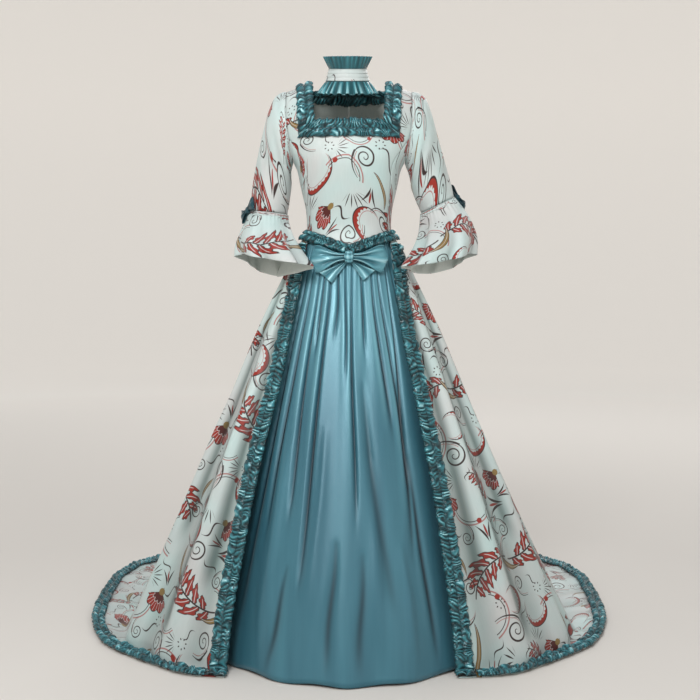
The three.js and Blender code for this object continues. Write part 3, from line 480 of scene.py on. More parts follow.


# the print: motifs scattered over a repeat, as x, y, turn in degrees and size in metres,
# in the order in which they are laid on the cloth
printRepeat = (0.39, 0.46)
motifs = {
    "arcs": (drawArcs, [(0.100, 0.290, 80, 0.130), (0.305, 0.165, 250, 0.130), (0.245, 0.440, 10, 0.140),
                        (0.022, 0.100, 170, 0.115), (0.140, 0.165, 300, 0.095)]),
    "spray": (drawSpray, [(0.095, 0.100, 25, 0.170), (0.290, 0.330, 205, 0.155), (0.370, 0.130, 118, 0.105)]),
    "flower": (drawFlower, [(0.235, 0.155, 10, 0.072), (0.050, 0.365, -60, 0.062)]),
    "scroll": (drawScroll, [(0.310, 0.040, 40, 0.130), (0.160, 0.235, 150, 0.120), (0.355, 0.210, 260, 0.085),
                            (0.120, 0.440, 300, 0.115), (0.220, 0.360, 80, 0.090), (0.012, 0.175, 200, 0.090),
                            (0.030, 0.035, 20, 0.080), (0.265, 0.245, 330, 0.075)]),
    "crescent": (drawCrescent, [(0.175, 0.400, 35, 0.100), (0.340, 0.430, 200, 0.080), (0.035, 0.255, 110, 0.092)]),
    "longLeaf": (drawLongLeaf, [(0.190, 0.040, 60, 0.110), (0.380, 0.350, -35, 0.110), (0.215, 0.290, 118, 0.080)]),
    "sprig": (drawSprig, [(0.135, 0.345, 20, 0.055), (0.270, 0.095, -110, 0.050), (0.005, 0.310, 160, 0.050),
                          (0.100, 0.215, 75, 0.042)]),
    "dots": (drawDots, [(0.200, 0.195, 0, 0.038), (0.385, 0.035, 30, 0.036), (0.070, 0.205, 0, 0.034),
                        (0.290, 0.425, 0, 0.036), (0.355, 0.285, 20, 0.034)]),
    "tulip": (drawTulip, [(0.032, 0.428, 261, 0.070), (0.320, 0.248, 184, 0.056), (0.176, 0.324, 351, 0.052),
                          (0.228, 0.088, 163, 0.046), (0.072, 0.408, 101, 0.044), (0.004, 0.000, 288, 0.040)]),
    "wave": (drawWave, [(0.192, 0.112, 339, 0.074), (0.100, 0.380, 317, 0.064), (0.224, 0.220, 338, 0.060),
                        (0.372, 0.256, 349, 0.054), (0.068, 0.008, 29, 0.052), (0.248, 0.060, 218, 0.046),
                        (0.060, 0.180, 135, 0.040), (0.368, 0.012, 225, 0.040), (0.324, 0.096, 243, 0.036)]),
}


def motifGroup(name, draw):
    tree, start, end = newTree(name, "place under", "colour")
    colour = start.outputs["under"]
    for mask, ink in draw(*xyOf(tree, start.outputs["place"])):
        colour = mixColour(tree, mask, colour, inks[ink])
    join(tree, colour, end.inputs["colour"])
    return tree


# moves, turns and wraps the flat cut's coordinates about one motif's middle
def placeGroup():
    tree, start, end = newTree("placeMotif", "cut middle turn scale", "place")
    wide, high = printRepeat
    x, y = xyOf(tree, vectorMath(tree, "SUBTRACT", start.outputs["cut"], start.outputs["middle"]))
    column = (x / wide).op("ROUND")
    x = x - column * wide
    y = y + column * (high / 2)
    y = y - (y / high).op("ROUND") * high
    flat = addNode(tree, "ShaderNodeCombineXYZ", X=x, Y=y).outputs[0]
    turned = addNode(tree, "ShaderNodeVectorRotate", {"rotation_type": "Z_AXIS"}, Vector=flat,
                     Angle=start.outputs["turn"]).outputs[0]
    join(tree, vectorMath(tree, "SCALE", turned, Scale=start.outputs["scale"]), end.inputs["place"])
    return tree


def printGroup():
    groups = {name: motifGroup("motif" + name.capitalize(), draw) for name, (draw, _) in motifs.items()}
    place = placeGroup()
    tree, start, end = newTree("scatteredPrint", "cut under", "colour")
    colour, cut = start.outputs["under"], start.outputs["cut"]
    for k, (name, x, y, turn, size) in enumerate((name, *row) for name in motifs for row in motifs[name][1]):
        if k % 12 == 11:  # a trace of the colour keeps the motifs in turn, a few at a time in the shader's memory
            cut = vectorMath(tree, "MULTIPLY_ADD", colour, (1e-7, 1e-7, 1e-7), cut)
        spotted = addNode(tree, "ShaderNodeGroup", {"node_tree": place}, cut=cut,
                          middle=(x, y, 0), turn=math.radians(turn), scale=1 / size)
        drawn = addNode(tree, "ShaderNodeGroup", {"node_tree": groups[name]}, place=spotted.outputs[0], under=colour)
        colour = drawn.outputs[0]
    join(tree, colour, end.inputs["colour"])
    return tree


def startMaterial(name):
    material = bpy.data.materials.new(name)
    material.use_nodes = True
    tree = material.node_tree
    return material, tree, addNode(tree, "ShaderNodeUVMap", {"uv_map": "cut"}).outputs[0]


def finishMaterial(tree, colour, height, strength, values):
    shader = tree.nodes["Principled BSDF"]
    join(tree, colour, shader.inputs["Base Color"])
    for label, value in values.items():
        shader.inputs[label].default_value = value
    bump = addNode(tree, "ShaderNodeBump", Height=height, Distance=1.0, Strength=strength)
    join(tree, bump.outputs[0], shader.inputs["Normal"])


def noiseOf(tree, vector, scale, detail):
    made = addNode(tree, "ShaderNodeTexNoise", Vector=vector, Scale=scale, Detail=detail)
    return nodeValue(tree, made.outputs["Fac"])


def stretched(tree, cut, scale):
    return addNode(tree, "ShaderNodeMapping", Vector=cut, Scale=scale).outputs[0]


def shadeOf(tree, label):
    return nodeValue(tree, addNode(tree, "ShaderNodeAttribute", {"attribute_name": label}).outputs["Fac"])


# the height of the threads across and along the cut, and of its slow slubs
def threads(tree, cut, fine, slub):
    across, along = (
        nodeValue(tree, addNode(tree, "ShaderNodeTexWave", {"wave_type": "BANDS", "bands_direction": axis}, Vector=cut,
                                Scale=scale, Distortion=0.4).outputs["Fac"])
        for axis, scale in (("X", fine), ("Y", fine * 0.7)))
    return across + along, noiseOf(tree, stretched(tree, cut, slub), 1.0, 3.0)


def printedCloth():
    material, tree, cut = startMaterial("printedSatin")
    weave, slow = threads(tree, cut, 900, (260, 30, 1))
    tint = noiseOf(tree, cut, 6.0, 2.0).op("MULTIPLY_ADD", 2.2, -0.65, clamp=True)
    ground = mixColour(tree, tint, inks["ground"], inks["blush"])
    drawn = addNode(tree, "ShaderNodeGroup", {"node_tree": printGroup()}, cut=cut, under=ground)
    colour = mixColour(tree, slow * 0.16, drawn.outputs[0], hexColour("#8fa6a6"), "MULTIPLY")
    # painted shade: the printed cloth is darkened towards grey by the painted shade attribute, in its folds and on the
    # lower skirt
    colour = mixColour(tree, shadeOf(tree, "paintedShade"), colour, hexColour("#74807e"), "MULTIPLY")
    height = weave * 0.00004 + slow * 0.00012 + noiseOf(tree, cut, 14.0, 3.0) * 0.0022
    finishMaterial(tree, colour, height, 0.8, {"Roughness": 0.36, "Sheen Weight": 0.04})
    return material


# plain satin, with bumped puckers that run along the warp, and painted sheen and shade in streaks along them, mixed
# from a lighter and a darker copy of its colour
def satinCloth(name, light, dark, rough, pucker, grain, stitched=False, deep=None, glow=None):
    material, tree, cut = startMaterial(name)
    weave, slow = threads(tree, cut, 1200, (420, 24, 1))
    uneven = noiseOf(tree, stretched(tree, cut, grain), 0.35, 4.0)
    # painted sheen and shade: lighter and darker streaks that follow the puckers
    share = uneven.op("MULTIPLY_ADD", 2.4, -0.7, clamp=True)
    colour = mixColour(tree, share, hexColour(light), hexColour(dark))
    height = weave * 0.00003 + slow * 0.0001 + uneven * pucker
    if deep:  # painted shade deep in the gathers mixes the satin nearly to black, and a painted highlight on the crests mixes it towards glow
        fold = shadeOf(tree, "fold")
        colour = mixColour(tree, fold - 1, colour, hexColour(glow))
        colour = mixColour(tree, fold, hexColour(deep), colour)
    if stitched:  # a row of stitches along the gather line, down the strip's middle
        along, aside = xyOf(tree, cut)
        dash = (along / 0.0032).op("FRACT").below(0.62, 0.1) * aside.within(0.0006, 0.0003)
        colour = mixColour(tree, dash, colour, hexColour("#0b2a33"))
        height = height - aside.within(0.0012, 0.001) * 0.0006
    finishMaterial(tree, colour, height, 0.8, {"Roughness": rough, "Metallic": 0.18, "Sheen Weight": 0.08})
    return material


def liningCloth():
    material, tree, cut = startMaterial("liningCloth")
    weave, slow = threads(tree, cut, 800, (200, 60, 1))
    colour = mixColour(tree, slow, hexColour("#d9ddd8"), hexColour("#c4cdca"))
    finishMaterial(tree, colour, weave * 0.00006, 0.7, {"Roughness": 0.8})
    return material


lining = liningCloth()
printed = {"slot": "print", "materials": [printedCloth(), lining]}
# deep is each satin's painted shade colour in the gathers, and glow its painted highlight colour on the crests
satin = {"slot": "satin", "materials": [satinCloth(
    "skirtSatin", "#427a8b", "#2d6072", 0.34, 0.0012, (40, 3, 1), deep="#0a2733", glow="#82c0cf")]}
trim = {"slot": "trim", "materials": [satinCloth(
    "trimSatin", "#4a98a4", "#256c78", 0.20, 0.0009, (90, 60, 1), True, deep="#031217", glow="#b4e4ea")]}
bowLook = {"slot": "bow", "materials": [satinCloth(
    "bowSatin", "#6fadbb", "#4a8b9b", 0.22, 0.0010, (40, 40, 1), deep="#0e3440", glow="#bfe8ef")]}
darkLook = {"slot": "dark_bow", "materials": [satinCloth(
    "darkBowSatin", "#164c58", "#0b2d36", 0.32, 0.0008, (60, 60, 1))]}
print("materials made")


# bodice
torsoPower = 2.3
torsoRows = table("h side front back", (1030, 128, 103, 98), (1072, 113, 90, 86), (1100, 111, 88, 84),
                  (1140, 114, 97, 88), (1193, 126, 114, 97), (1240, 136, 129, 105), (1262, 146, 132, 107),
                  (1280, 156, 131, 108), (1305, 168, 127, 109), (1352, 188, 118, 108))
armholeRows = table("h x", (1262, 145.8), (1275, 148), (1305, 154), (1340, 161), (1380, 164), (1447, 164))
armholeLow, armholeHigh = 1262, 1447
waistHeight, waistPoint, waistPointReach = 1072, 1032, 107
yokeHeight, yokeGirth, yokeSide, yokeFront, yokeBack, yokeMiddle = 1352, 150, 188, 118, 108, 5
backHeight = yokeHeight - waistHeight
shoulderGirth = yokeHeight + yokeGirth
yokeFoot = shoulderGirth + yokeGirth
strapInner, strapOuter, strapTopInner, strapTopOuter = 95, 164, 1466, 1447
seamMeetHeight = 1320
halfGap = 0.15
# half the width of the middle of the bodice at the waist and at the yoke, its share of a row, and the
# height of the back's neck edge over the yoke's line
neckLow, neckHigh, neckShare, neckBackRise = 60, 92, 0.6, 90


def rounded(value, power):
    return np.sign(value) * np.abs(value) ** (2 / power)


def oval(turn, side, front, back, power):
    c = cosine(turn)
    return side * rounded(sine(turn), power), -np.where(c > 0, front, back) * rounded(c, power)


def torso(turn, h):
    x, y = oval(turn, readTable(torsoRows, h, "side"), readTable(torsoRows, h, "front"),
                readTable(torsoRows, h, "back"), torsoPower)
    return spot(x, y, h)


def flatness(share, power):
    return np.maximum(1 - np.abs(share) ** power, 0) ** (1 / power)


def torsoAcross(x, h, front):
    side = readTable(torsoRows, h, "side")
    depth = np.where(front, -readTable(torsoRows, h, "front"), readTable(torsoRows, h, "back"))
    return spot(x, depth * flatness(x / side, torsoPower), h)


def shoulderTop(x):
    return mix(strapTopInner, strapTopOuter, (np.abs(x) - strapInner) / (strapOuter - strapInner))


# the chest, the straps over the shoulders and the upper back as one surface
def yoke(x, g):
    x, g = np.broadcast_arrays(np.asarray(x, float), np.asarray(g, float))
    low = torsoAcross(x, np.minimum(g, yokeHeight), True)
    behind = torsoAcross(x, yokeFoot + yokeHeight - np.maximum(g, yokeFoot), False)
    turn = (shoulderGirth - np.clip(g, yokeHeight, yokeFoot)) / yokeGirth * 90
    front = turn > 0
    depth = np.where(front, yokeFront, yokeBack) * flatness(x / yokeSide, torsoPower)
    reach = np.where(front, depth + yokeMiddle, depth - yokeMiddle)
    top = spot(x, yokeMiddle - reach * sine(turn), mix(yokeHeight, shoulderTop(x), cosine(turn)))
    return np.where((g <= yokeHeight)[..., None], low, np.where((g >= yokeFoot)[..., None], behind, top))


def armholeX(h):
    return readTable(armholeRows, np.minimum(h, armholeHigh), "x")


seamMeetShare = armholeX(seamMeetHeight) / readTable(torsoRows, seamMeetHeight, "side")
seamMeetTurn = float(np.degrees(np.arcsin(seamMeetShare ** (torsoPower / 2))))
seamRows = table("h front back", (1072, 70, 112), (1166, 60, 114), (1259, 51, 118),
                 (seamMeetHeight, seamMeetTurn, 180 - seamMeetTurn))


def seamTurn(h, face):
    return readTable(seamRows, np.minimum(h, seamMeetHeight), face)


def seamX(h, face):
    return np.where(h >= seamMeetHeight, armholeX(h), torso(seamTurn(h, face), h)[..., 0]) - halfGap


def waistSeam(x):
    return mix(waistPoint, waistHeight, np.clip(np.abs(x) / waistPointReach, 0, 1))


# across a bodice panel: the first share of a row spans its middle, and the rest reaches its seam
def panelX(c, neck, seam):
    share = np.abs(c)
    outer = mix(neck, seam, (share - neckShare) / (1 - neckShare))
    return np.where(share <= neckShare, share / neckShare * neck, outer)


def frontX(c, g):
    over = g > yokeHeight
    h = np.where(over, yoke(strapOuter, g)[..., 2], g)
    neck = np.where(over, mix(neckHigh, strapInner, (g - yokeHeight) / yokeGirth),
                    mix(neckLow, neckHigh, (g - waistHeight) / backHeight))
    return np.sign(c) * panelX(c, neck, seamX(h, "front"))


def frontFoot(c):
    h = np.full(np.shape(c), float(waistHeight))
    for step in range(8):
        h = waistSeam(frontX(c, h))
    return h


def backX(c, g):
    behind = g > yokeFoot
    h = np.where(behind, yokeFoot + yokeHeight - g, yokeHeight)
    seam = seamX(np.where(behind, h, yoke(strapOuter, g)[..., 2]), "back")
    return panelX(c, mix(neckLow, strapInner, (h - waistHeight) / backHeight), seam) + halfGap * (1 - c)


# how far over the shoulder the back's neck edge lies
def neckBack(x):
    return shoulderGirth + np.degrees(np.arccos(neckBackRise / (shoulderTop(x) - yokeHeight))) / 90 * yokeGirth


# a turned-in edge: the last few millimetres by a seam lean inwards
def turnedIn(points, side, edges, deep=0.9, reach=5.0):
    across, down = runLengths(points, 1), runLengths(points, 0)
    away = {"left": across, "right": across[:, -1:] - across, "top": down, "bottom": down[-1:] - down}
    sink = np.zeros(points.shape[:2])
    for edge in edges:
        sink = np.maximum(sink, deep * np.clip(1 - away[edge] / reach, 0, 1) ** 2)
    return points - outwardOf(points, side) * sink[..., None]


# column places with a few more beside both edges
def edged(start, end, count, near=0.012):
    inner = np.linspace(start + 2 * near * (end - start), end - 2 * near * (end - start), count)
    span = end - start
    return np.concatenate([[start, start + near * 0.5 * span, start + near * span], inner,
                           [end - near * span, end - near * 0.5 * span, end]])


bodice = {
    "thick": 1.6,
    "neckColumns": 12,
    # x, y, to x, to y on the flat piece, width, depth
    "front": [(-62, 300, -18, 262, 7, -1.3), (58, 306, 12, 258, 8, -1.4), (-78, 268, -40, 238, 6, -1.0),
              (80, 262, 44, 240, 6, -0.9), (-96, 60, -52, 98, 10, -1.3), (98, 64, 56, 104, 10, -1.2),
              (-100, 110, -70, 150, 8, -0.9), (20, 330, 48, 300, 6, -1.0), (-22, 330, -52, 296, 6, -0.9)],
    "side": [(-22, 196, 20, 214, 6, -1.3), (-20, 168, 24, 178, 6, -1.0), (-24, 222, 18, 236, 6, -1.1)],
    "back": [(-40, 300, 10, 282, 8, -1.5), (-44, 268, 4, 246, 8, -1.2), (20, 150, 46, 120, 10, -1.2),
             (-30, 340, 20, 328, 7, -1.2)],
}


def bodicePiece(name, node, points, side, part, edges, hands, keep=None):
    made = points + outwardOf(points, side) * creases(cutOf(points), bodice[part])[..., None]
    made = turnedIn(made, side, edges)
    for hand, mirror, shift in hands:
        clothPiece(name + hand, node + hand.lower(), made, side, printed, bodice["thick"], "hung",
                   mirror=mirror, cutShift=shift, keep=keep)


# the height at which the side panel's top edge meets the armhole, by halving
def armholeOver(u):
    low, high = np.full(np.shape(u), 1254.0), np.full(np.shape(u), 1330.0)
    for step in range(30):
        h = (low + high) / 2
        inside = torso(mix(seamTurn(h, "front"), seamTurn(h, "back"), u), h)[..., 0] < armholeX(h)
        low, high = np.where(inside, h, low), np.where(inside, high, h)
    return low


def buildBodice():
    neckColumns = bodice["neckColumns"]
    c, share = grid(np.linspace(-1, 1, 61), np.linspace(0, 1, 56))
    c2, share2 = grid(np.linspace(-1, 1, 61), np.linspace(0, 1, 30)[1:])
    g = np.concatenate([mix(frontFoot(c), yokeHeight, share), mix(yokeHeight, shoulderGirth - halfGap, share2)])
    points = yoke(frontX(np.concatenate([c, c2]), g), g)[::-1]
    neckRow = len(c2)
    bodicePiece("bodiceFront", "bodice_front", points, -1, "front", ["left", "right", "bottom"],
                keep=lambda i, j: (j >= neckRow) | (i < neckColumns) | (i >= 60 - neckColumns),
                hands=[("", False, (120, -50))])

    u, share = grid(edged(0, 1, 16), np.linspace(1, 0, 48))
    h = mix(waistHeight, armholeOver(np.clip(u, 0, 1)), share)
    gap = np.degrees(halfGap / torso(90, h)[..., 0])
    points = torso(mix(seamTurn(h, "front") + gap, seamTurn(h, "back") - gap, u), h)
    bodicePiece("bodiceSide", "bodice_side_", points, -1, "side", ["left", "right", "top", "bottom"],
                hands=[("Right", False, (310, 160)), ("Left", True, (130, 290))])

    def backNeck(c):
        return neckBack(np.clip(c / neckShare, 0, 1) * strapInner)

    c, share = grid(np.linspace(0, 1, 31), np.linspace(0, 1, 13))
    top, neck = shoulderGirth + halfGap + 0 * c, backNeck(c)
    c2, share2 = grid(np.linspace(0, 1, 31), np.linspace(0, 1, 25)[1:])
    c3, share3 = grid(np.linspace(0, 1, 31), np.linspace(0, 1, 51)[1:])
    g = np.concatenate([mix(top, neck, share), mix(backNeck(c2), yokeFoot, share2),
                        mix(yokeFoot, yokeFoot + backHeight, share3)])
    points = yoke(backX(np.concatenate([c, c2, c3]), g), g)
    bodicePiece("bodiceBack", "bodice_back_", points, 1, "back", ["left", "right", "bottom"],
                keep=lambda i, j: (j >= 12) | (i >= 30 * neckShare),
                hands=[("Right", False, (90, 60)), ("Left", True, (250, 330))])
    print("bodice made")


buildBodice()

# sleeves and flounces
sleeves = {
    "right": table("ring outerX outerH innerX innerH depth y",
                   (0, 164, 1447, 146, 1262, 66, 3), (1, 184, 1443, 150, 1252, 68, 3), (2, 203, 1427, 154, 1240, 68, 3),
                   (3, 219, 1385, 158, 1227, 66, 3), (4, 237, 1320, 162, 1212, 62, 5), (5, 258, 1250, 166, 1190, 57, 8),
                   (6, 279, 1173, 190, 1131, 51, 14)),
    "left": table("ring outerX outerH innerX innerH depth y",
                  (0, 164, 1447, 146, 1262, 66, 3), (1, 180, 1443, 149, 1252, 68, 3), (2, 197, 1428, 151, 1240, 68, 3),
                  (3, 214, 1387, 151, 1227, 66, 3), (4, 231, 1322, 151, 1208, 62, 5), (5, 248, 1245, 154, 1180, 57, 8),
                  (6, 264, 1138, 162, 1128, 53, 14)),
    "thick": 1.6,
    "gathers": 34,
    # turn, ring, to turn, to ring, width, depth
    "creases": [(30, 3.6, 120, 5.2, 0.42, -4.5), (50, 2.8, 150, 4.2, 0.36, -3.5), (10, 4.6, 70, 5.9, 0.34, -3.5),
                (210, 3.4, 300, 5.0, 0.42, -4.0), (250, 2.2, 330, 3.8, 0.36, -3.0), (120, 1.8, 170, 3.2, 0.30, -3.5),
                (190, 2.0, 240, 3.3, 0.32, -3.5), (20, 0.6, 60, 2.2, 0.34, -2.5), (320, 0.7, 350, 2.6, 0.34, -2.5),
                (60, 4.4, 160, 5.6, 0.28, 2.5), (230, 4.6, 310, 5.6, 0.28, 2.5)],
}
flounces = {
    "right": table("ring outerX outerH innerX innerH outerY innerY depth rise saddle",
                   (0, 279, 1172.4, 190, 1130.4, 14, 14, 51, 0, 0), (1, 303, 1140, 187, 1106, 4, 0, 60, 0, 2),
                   (2, 320, 1104, 181, 1072, -16, -44, 70, 6, 7), (3, 329, 1062, 164, 1030, -33, -98, 78, 11, 13),
                   (4, 324, 1022, 136, 988, -44, -148, 82, 14, 17)),
    "left": table("ring outerX outerH innerX innerH outerY innerY depth rise saddle",
                  (0, 264, 1137.4, 162, 1127.4, 14, 14, 53, 0, 0), (1, 273, 1110, 158, 1102, 4, 0, 61, 2, 2),
                  (2, 284, 1075, 144, 1065, -18, -44, 70, 8, 7), (3, 290, 1045, 122, 1028, -34, -98, 77, 15, 12),
                  (4, 288, 1018, 94, 988, -45, -150, 81, 21, 17)),
    "waves": [(6, 9, 40), (11, 3.2, 70), (17, 1.6, 10)],  # how many, their depth and their phase
    "gathers": 30,
}
clearRows = table("h side depth", (900, 222, 182), (947, 199, 165), (1007, 174, 148), (1034, 161, 136),
                  (1060, 149, 124), (1090, 141, 116), (1112, 126, 106), (1150, 126, 106))


def readRow(rows, value, key, *names):
    return {name: readTable(rows, value, name, key) for name in names or rows if name != key}


def armhole(turn):
    h = mix(armholeLow, armholeHigh, swellOf(turn))
    x = armholeX(h)
    front = sine(turn) > 0
    low = torsoAcross(x, np.minimum(h, yokeHeight), front)
    rise = np.clip((h - yokeHeight) / (shoulderTop(x) - yokeHeight), 0, 1)
    girth = np.arccos(rise) / (np.pi / 2) * yokeGirth
    high = yoke(x, shoulderGirth + np.where(front, -girth, girth))
    return np.where((h < yokeHeight)[..., None], low, high)


def armRing(rows, turn, v):
    cell = readRow(rows, v, "ring")
    c = cosine(turn)
    x, h = ((cell["outer" + way] + cell["inner" + way]) / 2 + (cell["outer" + way] - cell["inner" + way]) / 2 * c
            for way in "XH")
    return spot(x, cell["y"] - cell["depth"] * sine(turn), h)


# a ring's last column is its first, so its directions are taken with the ring closed
def ringOutward(points, side):
    around = np.concatenate([points[:, -3:-1], points, points[:, 1:3]], axis=1)
    return outwardOf(around, side)[:, 2:-2]


# the points, and the painted shade in their creases
def sleevePoints(rows):
    turn, v = grid(np.linspace(-180, 180, 109), np.linspace(0, 6, 61))
    reach = armhole(turn) - armRing(rows, turn, 0 * v)
    reach[..., 0] += 0.3
    points = armRing(rows, turn, v) + reach * ((1 - np.clip(v, 0, 1)) ** 2)[..., None]
    scaled = np.stack([turn / 60, v], -1)
    bend = 0 * turn
    for away in (-360, 0, 360):  # a crease may pass the ring's seam
        bend = bend + creases(scaled, [((a + away) / 60, b, (c + away) / 60, *more)
                                       for a, b, c, *more in sleeves["creases"]])
    head = bell(turn, 62, 4) * bell(v, 0.9, 1) * (0.2 + 0.8 * ease(v / 0.25))
    bend = bend + 1.9 * head * np.cos(np.radians(turn) * sleeves["gathers"] + wander(turn + 180, 20, 5) * 2)
    bend = bend - 1.2 * bell(6 - v, 0.22) - 1.0 * bell(v, 0.12)
    return points + ringOutward(points, 1) * bend[..., None], 0.45 * np.clip((-bend - 1) / 6, 0, 1)


# the points, and the painted shade in the troughs of their waves
def flouncePoints(rows):
    turn, v = grid(np.linspace(-180, 180, 145), np.linspace(0, 4, 43))
    cell = readRow(rows, v, "ring")
    outer = swellOf(turn)
    opened = np.clip(v / 4, 0, 1) ** 1.3
    wave = sum(deep * opened * cosine(count * turn + phase) for count, deep, phase in flounces["waves"])
    gather = bell(v, 0.8, 1) * ease(v / 0.12)
    wave = wave + 2.2 * gather * np.cos(np.radians(turn) * flounces["gathers"] + 1.5 * wander(turn + 180, 24, 9))
    x = mix(cell["innerX"], cell["outerX"], outer) + wave * cosine(turn)
    y = mix(cell["innerY"], cell["outerY"], outer) - (cell["depth"] + wave) * sine(turn)
    tilt = cell["rise"] * sine(turn) + cell["saddle"] * (cosine(2 * turn) * 0.5 - 0.5)
    h = mix(cell["innerH"], cell["outerH"], outer) + tilt
    clear = readRow(clearRows, np.clip(h, 900, 1150), "h")
    share = np.minimum(np.hypot(x / clear["side"], y / clear["depth"]), 1)
    return spot(x / share, y / share, h), 0.4 * np.clip(-wave / 12, 0, 1)


def buildSleeves():
    pieces = (("sleeve", sleeves, sleevePoints, "hung", "bodice_side_", {"right": (60, 210), "left": (230, 90)}),
              ("flounce", flounces, flouncePoints, "gathered", "sleeve_", {"right": (230, 245), "left": (-32, 6)}))
    for hand in ("right", "left"):
        for name, rows, shape, held, carrier, shifts in pieces:
            points, paintedShade = shape(rows[hand])
            clothPiece(name + hand.capitalize(), name + "_" + hand, points, 1, printed, sleeves["thick"], held,
                       restsOn=[carrier + hand], loop=True, mirror=hand == "left", cutShift=shifts[hand], paintedShade=paintedShade)
    print("sleeves made")


buildSleeves()

# underskirt
underskirt = {
    "rows": table("h side front back power", (0, 365, 448, 392, 2), (200, 332, 392, 352, 2), (400, 294, 324, 302, 2),
                  (600, 250, 256, 242, 2), (800, 199, 186, 176, 2), (900, 170, 152, 144, 2), (980, 144, 122, 118, 2.15),
                  (1030, 128, 103, 98, 2.3), (1072, 113, 90, 86, 2.3)),
    "foldRows": table("h depth", (0, 3), (250, 4), (600, 4), (880, 2), (1000, 1.4), (1035, 0), (1072, 0)),
    "folds": 18,
    "gathers": 74,
    "seamTurn": 96,
    "thick": 1.2,
    # turn at the top and at the foot, height of the top and of the foot, width in degrees, depth
    "longFolds": [(-30, -30, 1010, 357, 1.2, -12), (-17, -22, 1015, 199, 1.3, -13), (2, 3, 1010, 357, 1.0, -12),
                  (8, 19, 700, 150, 2.8, -11), (39, 29, 1000, 262, 1.4, -9), (33, 37, 520, 30, 1.5, -6),
                  (-24, -25, 1018, 760, 1.2, -7), (-9, -11, 1020, 800, 1.2, -7), (-3, -2, 1000, 700, 1.0, -8),
                  (11, 12, 1015, 760, 1.2, -8), (21, 25, 1020, 560, 1.4, -8),
                  (29, 33, 1015, 420, 1.4, -9), (-38, -42, 1005, 300, 1.6, -9), (-46, -52, 1000, 90, 1.8, -9),
                  (48, 55, 1005, 120, 1.8, -9), (56, 66, 1000, 300, 2.4, -8), (-58, -68, 1000, 220, 2.4, -8),
                  (70, 78, 980, 60, 3.0, -9), (-74, -80, 980, 60, 3.0, -9),
                  (-13, -16, 600, 120, 2.6, 5), (-34, -40, 560, 60, 3.0, 5), (12, 12, 520, 60, 2.6, 5),
                  (-6, -9, 330, 20, 2.2, -6), (6, 4, 300, 15, 2.4, -6), (24, 27, 320, 20, 2.0, 5),
                  (-28, -34, 260, 10, 2.2, -5)],
    "hemWaves": 13,
}


def underSection(turn, h):
    cell = readRow(underskirt["rows"], h, "h")
    x, y = oval(turn, cell["side"], cell["front"], cell["back"], cell["power"])
    return np.where((h >= waistPoint - 2)[..., None], torso(turn, h), spot(x, y, h))


def waistAt(turn):
    h = np.full(np.shape(turn), float(waistHeight))
    for step in range(8):
        h = np.where(cosine(turn) > 0, waistSeam(torso(turn, h)[..., 0]), waistHeight)
    return h


# the points, and the painted light on each: painted shade in the troughs and gathers, painted highlights beside the
# troughs, lighter towards the top
def underPoints(turn, h):
    points = underSection(turn, h)
    below = waistAt(turn) - h
    uneven = 0.75 + 0.25 * cosine(3 * turn + 50)
    depth = np.maximum(readTable(underskirt["foldRows"], np.minimum(h, waistHeight), "depth"), 0) * uneven
    depth = depth * (0.35 + 0.65 * ease((h - 560) / 300))
    phase = underskirt["folds"] * turn + 25 * sine(2 * turn)
    fold = depth * (cosine(phase) + 0.25 * cosine(2 * phase + 60))
    fold = fold + 5 * ease((260 - h) / 240) * cosine(underskirt["hemWaves"] * turn + 40 + 40 * sine(2 * turn))
    gather = np.cos(np.radians(turn) * underskirt["gathers"] + 2.5 * wander(turn % 360, 9, 3)) * bell(below, 60, 1)
    fold = fold + 1.5 * gather * ease(below / 30)
    # painted light: the top lighter as if lit from above, and the gathers shaded
    shade = 0.97 + 0.31 * ease((h - 520) / 420) + 0.12 * gather
    around = (turn + 180) % 360 - 180
    for sense in (1, -1):  # the back has the same folds as the front, turned about
        for top, foot, high, low, wide, deep in underskirt["longFolds"]:
            share = np.clip((high - h) / (high - low), 0, 1)
            middle = mix(top, foot, share) + 0.5 * np.sin(7 * share + top)
            away = (around - (middle if sense > 0 else 180 - middle * 1.25) + 180) % 360 - 180
            run = np.sin(np.pi * (0.05 + 0.9 * share)) ** 0.8 * (h < high) * ease((h - low + 40) / 120)
            spread = wide * (0.75 + 0.5 * share)
            fold = fold + deep * bell(away, spread) * run
            if deep < 0:  # painted shade in the trough, and a painted highlight beside it
                shade = shade - 1.25 * min(1.4 / wide, 1) * bell(away, 0.55 * spread) * run
                beside = bell(away + 2.3 * spread, 1.1 * spread)
                shade = shade + (0.08 + 0.34 * ease((h - 480) / 350)) * min(1.6 / wide, 1) * beside * run
    fold = fold * ease(below / 40)
    return points + spot(fold * sine(turn), -fold * cosine(turn), 0), np.clip(shade, 0, 2)


def buildUnderskirt():
    seam = underskirt["seamTurn"]
    for name, start, end, columns, carrier in (("Front", -seam, seam, 360, "bodice_front"),
                                               ("Back", seam, 360 - seam, 140, "bodice_back_right")):
        turn, share = grid(edged(start + 0.05, end - 0.05, columns, 0.002), np.linspace(0, 1, 76) ** 0.9)
        hem = 3 + 4 * swellOf(underskirt["hemWaves"] * turn + 150)
        points, shade = underPoints(turn, mix(waistAt(turn) - 0.45, hem, share))
        clothPiece("underskirt" + name, "underskirt_" + name.lower(), points, -1, satin, underskirt["thick"], "hung",
                   restsOn=[carrier], fold=shade)
    print("underskirt made")


buildUnderskirt()

